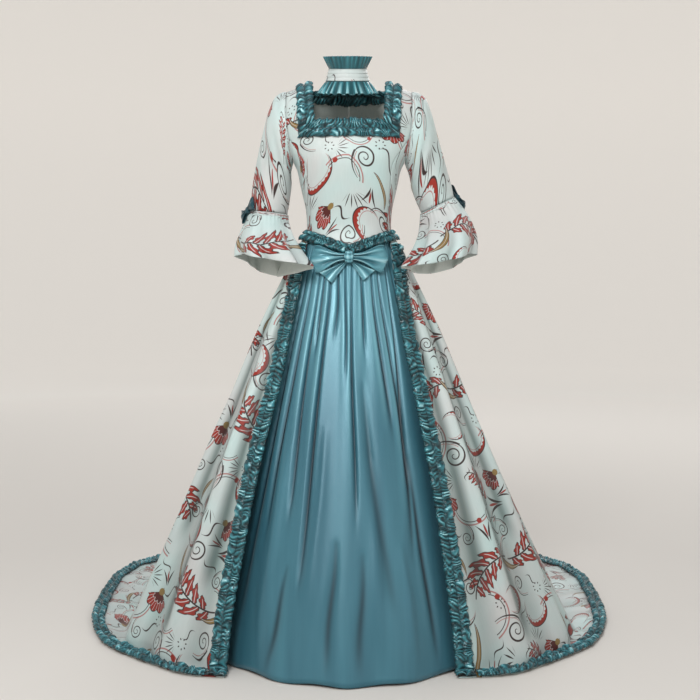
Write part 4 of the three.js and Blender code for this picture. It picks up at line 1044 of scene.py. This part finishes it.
# overskirt with its train
overskirt = {
    "rows": table("h side front back", (30, 590, 378, 632), (218, 500, 341, 545), (371, 430, 307, 480),
                  (578, 341, 254, 390), (817, 242, 181, 258), (901, 202, 160, 208), (960, 172, 140, 168),
                  (1007, 152, 124, 138), (1034, 140, 113, 121), (1072, 115.3, 92.3, 88.3)),
    "powerRows": table("h power", (30, 2), (900, 2), (1072, 2.3)),
    "edgeRows": table("h right left", (30, 260, 298), (150, 248, 285), (286, 230, 261), (398, 214, 242),
                      (516, 194, 218), (610, 176, 195), (707, 158, 171), (817, 135, 150), (900, 124, 134),
                      (1007, 112, 115), (1072, 107, 107)),
    "hemRows": table("turn reach", (35, 452), (40, 476), (50, 526), (60, 551), (70, 586), (80, 636), (90, 676),
                     (100, 721), (110, 776), (120, 856), (130, 960), (140, 1065), (150, 1145), (160, 1185),
                     (170, 1197), (180, 1200)),
    "foldRows": table("h depth", (0, 12), (200, 14), (600, 10), (960, 4.5), (1034, 1.6), (1056, 0), (1072, 0)),
    "hemStart": {"right": 35.5, "left": 39.5},
    "folds": 6.5,
    "gathers": 26,
    "buckles": 5,
    "ripples": 17,
    "seam": 0.42,
    "thick": 1.6,
    # place round the half at the top and at the foot, height of the top and of the foot, width, depth
    "longFolds": [
        (0.10, 0.09, 1020, 200, 0.014, -6), (0.17, 0.16, 1000, 60, 0.016, -8), (0.24, 0.25, 1015, 300, 0.014, -6),
        (0.31, 0.33, 1010, 40, 0.018, -8), (0.40, 0.41, 1005, 150, 0.014, -7), (0.47, 0.49, 1015, 40, 0.018, -8),
        (0.56, 0.57, 1010, 260, 0.014, -7), (0.63, 0.64, 1015, 40, 0.018, -9), (0.72, 0.73, 1010, 180, 0.014, -7),
        (0.79, 0.79, 1015, 40, 0.018, -9), (0.88, 0.88, 1010, 120, 0.015, -7), (0.95, 0.955, 1015, 40, 0.014, -8),
        (0.13, 0.125, 760, 40, 0.013, 5), (0.28, 0.29, 700, 40, 0.014, 5), (0.52, 0.53, 760, 40, 0.014, 5),
        (0.68, 0.69, 720, 60, 0.014, 5), (0.84, 0.84, 760, 40, 0.014, 5)],
}
overTop, overLow, floorLie, floorTurn, rippleEnd = 1071.7, 30, 3, 0.18, 1.2


def overHang(hand, s, h):
    cell = readRow(overskirt["rows"], h, "h")
    power = readTable(overskirt["powerRows"], h, "power")
    side = cell["side"]
    edge = np.degrees(np.arcsin((readTable(overskirt["edgeRows"], h, hand) / side) ** (power / 2)))
    turn = mix(edge, 180, s)
    depth = np.where(turn < 90, cell["front"], cell["back"])
    x, y = side * rounded(sine(turn), power), -depth * rounded(cosine(turn), power)
    place = np.where(s > 1, 2 - s, s)
    deep = np.maximum(readTable(overskirt["foldRows"], np.minimum(h, waistHeight), "depth"), 0)
    fold = deep * ease(place / 0.08) * np.cos(2 * np.pi * overskirt["folds"] * place + 0.8 * np.sin(5 * place))
    more = 0 * fold
    for top, foot, high, low, wide, deeper in overskirt["longFolds"]:
        share = np.clip((high - h) / (high - low), 0, 1)
        trough = bell(place - mix(top, foot, share), wide * (0.8 + 0.5 * share))
        more = more + deeper * trough * ease((high - h) / 160) * ease((h - low + 40) / 90)
    below = overTop - h
    gather = np.cos(2 * np.pi * overskirt["gathers"] * place + 2.5 * wander(place * 100, 4, 8))
    more = more + 1.7 * bell(below, 80, 1) * gather
    fold = fold + more * ease(place / 0.06) * ease(below / 36)
    # painted shade: darker in the troughs of the folds and gathers, and darker towards the hem
    paintedShade = np.clip(-more / 11, 0, 1) + 0.28 * np.clip(-fold / np.maximum(deep, 2), 0, 1)
    paintedShade = paintedShade + 0.22 * ease((820 - h) / 700)
    return spot(x + fold * sine(turn), y - fold * cosine(turn), h), np.clip(paintedShade, 0, 1)


# s runs round the half from its front edge to the centre back; v hangs from 0 to 1 and lies on the floor
# from 1 to 2. The points, and the painted shade on each of them
def overDrape(hand, s, v):
    hang, paintedShade = overHang(hand, s, mix(overTop, overLow, np.minimum(v, 1)))
    q = np.maximum(v - 1, 0)
    turn = mix(overskirt["hemStart"][hand], 180, s)
    reach = readTable(overskirt["hemRows"], np.minimum(turn, 180), "reach", "turn")
    rest = 1 - np.clip(q / floorTurn, 0, 1)
    place = np.where(s > 1, 2 - s, s)
    room = np.maximum(q * (rippleEnd - q), 0)
    buckle = 1 - swellIn(2 * np.pi * overskirt["buckles"] * place + 1)
    ripple = swellIn(2 * np.pi * overskirt["ripples"] * place + 3 * q + 2 * np.sin(7 * place))
    lift = 40 * ease((place - 0.3) / 0.3) * buckle * room
    lift = lift + 16 * room * ease(place / 0.12) * ripple ** 2
    lift = lift + 9 * room * ease((place - 0.4) / 0.2) * swellIn(9 * q + 11 * place) ** 3
    z = floorLie + (overLow - floorLie) * rest * rest + lift
    lying = spot(mix(hang[..., 0], reach * sine(turn), q), mix(hang[..., 1], -reach * cosine(turn), q), z)
    # on the floor the painted shade is lighter where ripples lift the cloth
    paintedShade = mix(paintedShade, 0.12 + 0.2 * np.clip(1 - lift / 12, 0, 1), ease(q / 0.3))
    return np.where((v <= 1)[..., None], hang, lying), paintedShade


def overPoints(hand, s, v):
    return overDrape(hand, s, v)[0]


def buildOverskirt():
    levels = np.concatenate([np.linspace(0, 1, 84), 1 + np.linspace(0, 0.2, 10)[1:], 1 + np.linspace(0.2, 1, 30)[1:]])
    seam = overskirt["seam"]
    for hand, shift in (("right", (20, 130)), ("left", (205, 40))):
        for part, node, start, end, columns, backShift in (("", "", 0, seam, 92, (0, 0)),
                                                           ("Back", "back_", seam, 1, 126, (90, 200))):
            s, v = grid(edged(start + 0.0002, end - 0.0002, columns, 0.004), levels)
            points, paintedShade = overDrape(hand, s, v)
            clothPiece("overskirt" + part + hand.capitalize(), "overskirt_" + node + hand, points, -1, printed,
                       overskirt["thick"], "hung", restsOn=["underskirt_front"], mirror=hand == "left",
                       cutShift=np.array(shift) + backShift, paintedShade=paintedShade)
    print("overskirt made")


buildOverskirt()


# gathered trim
trims = {
    "thick": 0.7,
    "fullness": 2,
    # half the width, the length of a gather and of a puff, the puffs' height, the gathers' depth, the lift off
    # the cloth, the rows of points across and the points for each gather
    "neck": {"half": 22, "pitch": 10.5, "puff": 27, "high": 8, "deep": 6.0, "lift": 3.0, "rows": 13, "finer": 11},
    "waist": {"half": 14, "pitch": 9.5, "puff": 24, "high": 7, "deep": 5.5, "lift": 2.6, "rows": 9, "finer": 10},
    "skirt": {"half": 25, "pitch": 11, "puff": 29, "high": 9, "deep": 7.0, "lift": 3.4, "rows": 13, "finer": 9},
}


# a strip on a surface: place(a, w) gives its points for a place along it and w mm across it
def gatheredStrip(place, start, end, look, seed, steps=(0.001, 0.4)):
    half, pitch = look["half"], look["pitch"]
    a = np.linspace(start, end, 600)
    length = runLengths(place(a, 0 * a), 0)
    run, w = grid(np.linspace(0, length[-1], int(length[-1] / pitch * look["finer"])), np.linspace(-1, 1, look["rows"]))
    size, upper = np.abs(w), w > 0

    def drift(shift, step, order):
        return wander(run + shift * upper, step, seed + order)

    # puffs of uneven length along both halves, crossed by narrow gathers that bend and lean
    swell = 2 * np.pi * run / look["puff"] + 1.8 * drift(0, look["puff"] * 0.8, 0) + 2.5 * upper
    puff = 0.5 + 0.5 * swellIn(swell)
    bulge = np.sin(np.pi * np.clip(size, 0.02, 0.98)) ** 0.6
    lean = 2.2 * size * drift(0, pitch * 2.4, 1) + 1.3 * np.sin(np.pi * size) * drift(31, pitch * 3.1, 2)
    turn = np.pi * (run / pitch + lean) + 1.4 * ease(size / 0.3) * drift(17, pitch * 1.6, 3)
    ridge = np.abs(np.cos(turn)) ** 0.8
    strength = 0.8 + 0.4 * drift(53, pitch * 1.2, 5)
    height = look["lift"] + look["high"] * puff * bulge
    height = height + look["deep"] * (ridge - 0.6) * (0.35 + 0.65 * bulge) * strength
    param = np.interp(run, length, a)
    wide = half * (w * (1 - 0.05 * (1 - ridge)) + np.sign(w) * size ** 2 * 0.06 * np.cos(swell + 0.7))
    points = place(param, wide) + outwardAt(place, param, wide, *steps, 1) * height[..., None]
    # painted light: painted shade in the gathers' valleys and painted highlights on their crests, stronger where glint
    # is high
    glint = 0.75 + 0.55 * wander(run + 71 * upper + 9 * size, pitch * 0.7, seed + 7)
    fold = np.clip(0.06 + ridge ** 2.6 * (0.35 + 0.65 * bulge * puff) * strength * glint * 1.9, 0, 1.8)
    return {"points": points, "side": 1, "look": trim, "thick": trims["thick"], "held": "gathered",
            "cut": np.stack([run * trims["fullness"], w * half], -1), "fold": fold}


# height of the front strip's gather line, half its length, half the gap of the side strips over the
# shoulders, and how far the back strip's gather line lies over the neck's edge
neckTrim = {"low": 1340, "front": 107, "top": 116, "over": 4}


def buildNeckTrim():
    low, over = neckTrim["low"], neckTrim["over"]
    mitre = float(neckBack(strapInner)) - over

    def gatherX(g):
        return mix(neckTrim["front"], neckTrim["top"], np.clip((g - low) / yokeGirth, 0, 1))

    def front(a, w):
        return yoke(a * (neckTrim["front"] - w), low + w)

    def sideStrip(a, w):
        g = mix(low + w, mitre - w, a)
        return yoke(gatherX(g) - w, g)

    def back(a, w):
        x = a * (gatherX(mitre) - w)
        return yoke(x, neckBack(np.minimum(np.abs(x), strapInner)) - over - w)

    for name, place, start, seed, carrier in (("Front", front, -1, 11, "bodice_front"),
                                              ("Right", sideStrip, 0, 21, "bodice_front"),
                                              ("Left", sideStrip, 0, 21, "bodice_front"),
                                              ("Back", back, -1, 31, "bodice_back_right")):
        clothPiece("neckTrim" + name, "neck_ruffle_" + name.lower(), restsOn=[carrier], mirror=name == "Left",
                   **gatheredStrip(place, start, 1, trims["neck"], seed))


def buildWaistTrim():
    def place(turn, w):
        seam = waistAt(turn)
        spread = 1.008 + np.maximum(-w, 0) / trims["waist"]["half"] * 0.15
        return torso(turn, seam + np.maximum(w, 0)) * spot(spread, spread, 0) + spot(0, 0, seam + w)

    for name, start, end, seed in (("Front", -92, 92, 41), ("Back", 92, 268, 51)):
        clothPiece("waistTrim" + name, "waist_ruffle_" + name.lower(), restsOn=["bodice_front"],
                   **gatheredStrip(place, start, end, trims["waist"], seed, steps=(0.2, 0.2)))


# how far the gather lines lie in from the edge and the hem, where the strips start and end, the short step
# along s over which its length is measured, and about how long the overskirt hangs
skirtTrim = {"edge": 20, "hem": 16, "edgeStart": 0.0247, "edgeEnd": 2.14, "corner": 47, "hemEnd": 0.9999,
             "step": 0.02, "hang": 1100}


def buildSkirtTrim():
    step, look = skirtTrim["step"], trims["skirt"]
    for hand in ("right", "left"):
        def span(s, v, s2, v2):
            return np.linalg.norm(overPoints(hand, s, v) - overPoints(hand, s2, v2), axis=-1)

        def edge(v, w):
            reach = span(step + 0 * v, v, 0 * v, v) / step
            return overPoints(hand, (w + skirtTrim["edge"]) / reach, v)

        def hem(s, w):
            lying = span(s, 2 + 0 * s, s, 1 + 0 * s)
            inward = w + skirtTrim["hem"]
            v = np.where(inward < lying, 2 - inward / lying, 1 - (inward - lying) / skirtTrim["hang"])
            return overPoints(hand, s, v)

        corner = span(np.array(step), np.array(2.0), np.array(0.0), np.array(2.0)) / step
        more = {"mirror": hand == "left", "restsOn": ["overskirt_" + hand]}
        clothPiece("edgeTrim" + hand.capitalize(), "edge_ruffle_" + hand, **more, **gatheredStrip(
            edge, skirtTrim["edgeStart"], skirtTrim["edgeEnd"], look, 61, steps=(0.001, 0.5)))
        more["restsOn"] = ["overskirt_" + hand, "overskirt_back_" + hand]
        clothPiece("hemTrim" + hand.capitalize(), "hem_ruffle_" + hand, **more, **gatheredStrip(
            hem, skirtTrim["corner"] / corner, skirtTrim["hemEnd"], look, 71, steps=(0.0004, 0.5)))


buildNeckTrim()
buildWaistTrim()
buildSkirtTrim()
print("trim made")

# bows
frontBow = {"h": 1015, "y": -130.4, "halfX": 11, "halfY": 9, "halfZ": 14, "thick": 1.2,
            "right": {"length": 88, "drop": 3, "tail": (52, 968)}, "left": {"length": 86, "drop": 2, "tail": (60, 962)}}


# a loop of the front bow: p runs out along its front and back again along its back, and q across it
def loopPoints(length, drop):
    p, q = grid(np.linspace(0, 1, 61), np.linspace(-1, 1, 33))
    out, face = sine(180 * p), cosine(180 * p)
    x = frontBow["halfX"] + 0.3 + length * out ** 0.85 * (0.97 - 0.07 * q * q + 0.04 * np.sin(4.3 * q + 2))
    half = 9 + 25 * ease(out) - 2.5 * out * np.cos(q * 5 + 1)
    pleat = np.cos(q * 8.5 + 0.6 + 1.6 * out) + 0.6 * np.cos(q * 14 - 0.8 - 1.5 * out)
    slack = np.cos(q * 4.2 - 1.2 + out * 2.6) + 0.5 * np.cos(q * 7 + 4 * out)
    y = frontBow["y"] + 18 * (x / 100) ** 2 - (3 + 10 * out) * face
    y = y - np.sign(face) * (4.6 * bell(out, 0.8, 1) * pleat + 3.0 * out * slack)
    h = frontBow["h"] + (drop - 4) * out + q * half - 3 * out * q * q + 2.4 * out * np.sin(p * 7) * q
    # painted shade in the pleats and painted highlight on their crests
    shade = np.clip(0.92 + 0.52 * bell(out, 0.9, 1) * pleat + 0.30 * out * slack, 0, 1.8)
    return spot(x, y, h), shade


def tailPoints(reach, fall):
    p, q = grid(np.linspace(0, 1, 41), np.linspace(-1, 1, 25))
    half = mix(6, 23, p)
    x = mix(7.5, reach, p) + q * half * 0.72
    h = mix(frontBow["h"] - frontBow["halfZ"] + 1, fall, p) + q * half * (0.15 + 0.45 * p)
    section = underSection(np.degrees(np.arcsin(np.clip(x / 150, -1, 1))), h)
    ripple, crush = np.cos(q * 5.0 + 2 * p) * ease(p / 0.3), (1 - p) * np.cos(q * 9)
    y = mix(frontBow["y"] + 2, section[..., 1] - 11, ease(p * 2)) - 3.2 * ripple - 1.5 * crush
    # painted shade along the ripples and crushed folds, darker near the knot under the loops, with painted highlights
    # on the ripples
    shade = np.clip(0.95 + 0.45 * ripple + 0.3 * crush, 0, 1.7) * (0.45 + 0.55 * ease(p / 0.35))
    return spot(x, y, h), shade


# a knot is a short band of cloth pulled round the middle: a sphere, squared off and ridged
def knotPiece(name, node, middle, size, look, turns=(0, 0, 0)):
    bpy.ops.object.select_all(action="DESELECT")
    bpy.ops.mesh.primitive_uv_sphere_add(segments=40, ring_count=24, radius=1, location=(0, 0, 0))
    piece = bpy.context.object
    piece.name = name
    mesh = piece.data
    places = np.empty(len(mesh.vertices) * 3)
    mesh.vertices.foreach_get("co", places)
    places = places.reshape(-1, 3)
    turn, z = np.arctan2(places[:, 1], places[:, 0]), places[:, 2]
    ridges = 1 + 0.06 * np.cos(z * 9 + 0.6 * np.sin(turn * 3)) * (1 - z ** 2) + 0.03 * np.cos(turn * 7)
    shaped = spun(np.sign(places) * np.abs(places) ** 0.72 * np.array(size) * ridges[:, None], zip("xyz", turns))
    mesh.vertices.foreach_set("co", ((shaped + np.array(middle) - [0, 0, shoulderHeight]) / 1000).ravel())
    # painted shade between the ridges and painted highlight on them
    pointShade(mesh, "fold", np.clip(0.3 + (ridges - 0.94) * 9, 0, 1.5))
    layer = mesh.uv_layers[0]
    layer.name = "cut"
    around = np.empty(len(mesh.loops) * 2)
    layer.data.foreach_get("uv", around)
    layer.data.foreach_set("uv", (around.reshape(-1, 2) * [0.07, 0.04]).ravel())
    mesh.materials.append(look["materials"][0])
    mesh.update()
    onlySelected(piece)
    placePiece(piece, node)


def buildFrontBow():
    for hand in ("right", "left"):
        one, mirror = frontBow[hand], hand == "left"
        for name, (points, shade), held, shift in (
                ("Loop", loopPoints(one["length"], one["drop"]), "folded", (40 * mirror, 10)),
                ("Tail", tailPoints(*one["tail"]), "hung", (20, 60 * mirror))):
            clothPiece("bow" + name + hand.capitalize(), "bow_" + name.lower() + "_" + hand, points, 1, bowLook,
                       frontBow["thick"], held, ["bow_knot"], mirror=mirror, cutShift=shift, fold=shade)
    knotPiece("bowKnot", "bow_knot", (0, frontBow["y"], frontBow["h"]),
              (frontBow["halfX"] + 1, frontBow["halfY"], frontBow["halfZ"] + 1), bowLook)


elbowBows = {
    "left": {"turn": 28, "tilt": 35, "lean": -14, "seat": 8.9},
    "right": {"turn": -14, "tilt": -60, "lean": -28, "seat": 12.4},
    "length": 30, "half": 15, "thick": 1.0, "knot": (7, 6.5, 8.5),
}


def buildElbowBows():
    p, q = grid(np.linspace(0, 1, 41), np.linspace(-1, 1, 21))
    out, face = sine(180 * p), cosine(180 * p)
    pinch = 2.2 * bell(out, 0.4, 1) * np.cos(q * 8)
    y = -(2.6 + 6 * out) * face - np.sign(face) * (pinch + 1.2 * out * np.cos(q * 4))
    for hand in ("left", "right"):
        one, rows = elbowBows[hand], sleeves[hand]
        turn, ring = np.array(float(one["turn"])), np.array(6.0)
        across = armRing(rows, turn + 0.5, ring) - armRing(rows, turn - 0.5, ring)
        down = armRing(rows, turn, ring + 0.05) - armRing(rows, turn, ring - 0.05)
        outward = np.cross(across, down)
        outward = outward / np.linalg.norm(outward)
        heading = math.degrees(math.atan2(outward[0], -outward[1]))
        seat = armRing(rows, turn, ring) + outward * [1, 1, 0] * one["seat"]
        mirror, sense = hand == "left", -1 if hand == "left" else 1
        for name, way in (("A", 1), ("B", -1)):
            points = spot(way * (3 + elbowBows["length"] * out ** 0.85), y, q * (6 + elbowBows["half"] * ease(out)))
            points = spun(points, (("y", one["tilt"]), ("x", one["lean"]), ("z", heading))) + seat
            clothPiece("elbowLoop" + name + hand.capitalize(), "elbow_bow_" + hand, points, way, darkLook,
                       elbowBows["thick"], "folded", ["sleeve_" + hand], mirror=mirror)
        knotPiece("elbowKnot" + hand.capitalize(), "elbow_bow_" + hand, seat * [sense, 1, 1], elbowBows["knot"],
                  darkLook, turns=(one["lean"], one["tilt"] * sense, heading * sense))


buildFrontBow()
buildElbowBows()
print("bows made")

# choker
choker = {
    "x": -3.4, "y": -10.1, "dip": 18, "tucks": 3, "thick": 1.4,
    "low": (1484, 57, 60), "high": (1513, 50, 54),  # height, half the width and half the depth of the band's edges
    # how far a frill spreads at the sides and front, how far it stands or falls, pleats, their depth and seed
    "frillTop": {"side": 13, "depth": 13, "fall": (-32, -32), "pleats": 30, "deep": 2.6, "seed": 81},
    "frillLow": {"side": 19, "depth": 18, "fall": (37, 32), "pleats": 24, "deep": 6.0, "seed": 91},
}


def chokerRing(turn, side, depth, h):
    return spot(side * sine(turn) + choker["x"], -depth * cosine(turn) + choker["y"],
                h - choker["dip"] * swellOf(turn))


# a frill sewn a little off an edge of the band, and its crests; w runs from the seam to the free edge
def chokerFrill(edge, look, turn, w, sewn, ripple):
    h, side, depth = edge
    pleats = look["pleats"]
    phase = pleats * np.radians(turn) + 1.8 * wander(turn + 180, 13, look["seed"]) * ease((180 - np.abs(turn)) / 12)
    crest = swellIn(phase)
    wave = w ** 0.8 * (look["deep"] * crest + 0.8 * np.cos(2 * phase)) - 1.2
    fall = mix(*look["fall"], 1 - swellOf(turn))
    points = chokerRing(turn + 2.2 * w * np.sin(2 * phase) * 12 / pleats, side + look["side"] * w + wave,
                        depth + look["depth"] * w + wave, h + sewn - fall * w + ripple * w * (crest - 0.5))
    return points, crest


def buildChoker():
    (lowH, lowSide, lowDepth), (highH, highSide, highDepth) = choker["low"], choker["high"]
    turn, v = grid(np.linspace(-180, 180, 121), np.linspace(1, 0, 61))
    fold = (v * choker["tucks"]) % 1
    tuck = 1.6 * (1 - fold) ** 2 - 0.6 + 0.25 * cosine(9 * turn) * (1 - fold)
    points = chokerRing(turn, mix(lowSide, highSide, v) + tuck, mix(lowDepth, highDepth, v) + tuck, mix(lowH, highH, v))
    clothPiece("chokerBand", "choker_band", points, -1, printed, choker["thick"], "stretched", loop=True,
               cutShift=(95, 155))
    turn, w = grid(np.linspace(-180, 180, 433), np.linspace(0, 1, 12))
    for name, node, edge, sewn, ripple, start, run, order in (("Top", "top", "high", 0.3, 0, 30, -28, -1),
                                                              ("Low", "bottom", "low", -0.3, 4.5, 6, 28, 1)):
        points, crest = chokerFrill(choker[edge], choker["frill" + name], turn, w, sewn, ripple)
        # painted shade between the pleats and painted highlight on their crests; the lower frill's crests go past 1,
        # into the painted highlight colour
        shade = 0.38 + 0.42 * crest * w ** 0.5 if name == "Top" else 0.30 + 1.25 * crest ** 1.5 * w ** 0.3
        cut = np.stack([turn * 1.6, start + w * run], -1)
        clothPiece("chokerFrill" + name, "choker_ruffle_" + node, points[::order], -1, trim, trims["thick"], "gathered",
                   ["choker_band"], loop=True, cut=cut[::order], fold=shade[::order])
    print("choker made")


buildChoker()


# stage, light and camera
floorHeight, floorReach, floorRise, backdropTop = -1.4501, 9, 3, 10
view = {"away": 3.4, "height": 0.99, "down": 3.72, "turn": -0.045, "focal": 1283, "picture": 700, "sensor": 36}
# name, place, what it lights, size, power and tint
lights = (("keyLight", (-0.8, -3.3, 1.6), (0, 0, -0.25), (1.2, 1.2), 92, (1, 0.995, 0.985)),
          ("fillLight", (2.6, -3.6, 0.6), (0, 0, -0.6), (2.2, 2.2), 14, (0.95, 0.98, 1)),
          ("topLight", (-0.6, 0.2, 3.2), (0, 0.2, -0.8), (2.6, 2.6), 36, (1, 1, 1)),
          ("backLight", (1.5, 4.8, 2.2), (0, 0, -0.5), (3.0, 2.0), 50, (1, 1, 1)))


# a round floor that curves up into a backdrop on every side
def buildStage():
    rings = [(0.001, 0.0), (floorReach, 0.0)]
    rings += [(floorReach + floorRise * math.sin(a), floorRise - floorRise * math.cos(a))
              for a in np.radians(np.linspace(8, 90, 12))]
    rings += [(floorReach + floorRise, backdropTop)]
    turns = np.radians(np.linspace(0, 360, 97))
    points = np.array([[(r * math.cos(t), r * math.sin(t), z + floorHeight) for t in turns] for r, z in rings])
    mesh = bpy.data.meshes.new("floor")
    columns = len(turns)
    faces = [(j * columns + i, j * columns + i + 1, (j + 1) * columns + i + 1, (j + 1) * columns + i)
             for j in range(len(rings) - 1) for i in range(columns - 1)]
    mesh.from_pydata(points.reshape(-1, 3).tolist(), [], faces)
    mesh.shade_smooth()
    floor = bpy.data.objects.new("floor", mesh)
    bpy.context.collection.objects.link(floor)
    material = bpy.data.materials.new("paleFloor")
    material.use_nodes = True
    tree = material.node_tree
    shader = tree.nodes["Principled BSDF"]
    shader.inputs["Base Color"].default_value = hexColour("#dcd8d3")
    shader.inputs["Roughness"].default_value = 0.85
    shader.inputs["Emission Color"].default_value = hexColour("#f4f1ec")
    away = distance(*xyOf(tree, addNode(tree, "ShaderNodeTexCoord").outputs["Object"]))
    glow = ((away - 1.5) * 0.062).op("MAXIMUM", 0.0).op("MINIMUM", 0.33)
    join(tree, glow, shader.inputs["Emission Strength"])  # the backdrop is lit evenly
    mesh.materials.append(material)


def areaLight(name, place, aim, size, power, tint):
    data = bpy.data.lights.new(name, "AREA")
    data.shape = "RECTANGLE"
    data.size, data.size_y = size
    data.energy = power
    data.color = tint
    light = bpy.data.objects.new(name, data)
    bpy.context.collection.objects.link(light)
    light.location = place
    light.visible_camera = False
    x, y, z = np.array(aim, float) - np.array(place, float)
    light.rotation_euler = (math.atan2(math.hypot(x, y), -z), 0, math.atan2(y, x) - math.pi / 2)


def buildView():
    buildStage()
    for row in lights:
        areaLight(*row)
    scene = bpy.context.scene
    scene.world = bpy.data.worlds.new("studio")
    scene.world.use_nodes = True
    background = scene.world.node_tree.nodes["Background"]
    background.inputs["Color"].default_value = (0.9, 0.92, 0.95, 1)
    background.inputs["Strength"].default_value = 0.30
    scene.view_settings.view_transform = "Standard"
    data = bpy.data.cameras.new("camera")
    data.sensor_width = view["sensor"]
    data.lens = view["sensor"] * view["focal"] / view["picture"]
    camera = bpy.data.objects.new("camera", data)
    bpy.context.collection.objects.link(camera)
    camera.location = (0, -view["away"], view["height"] - shoulderHeight / 1000)
    camera.rotation_euler = (math.radians(90 - view["down"]), 0, math.radians(view["turn"]))
    scene.camera = camera


buildView()
pieces = [one for one in bpy.data.objects
          if one.type == "MESH" and one.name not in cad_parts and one.name != "floor"]
print("pieces", len(pieces), "triangles", sum(len(face.vertices) - 2 for one in pieces for face in one.data.polygons))
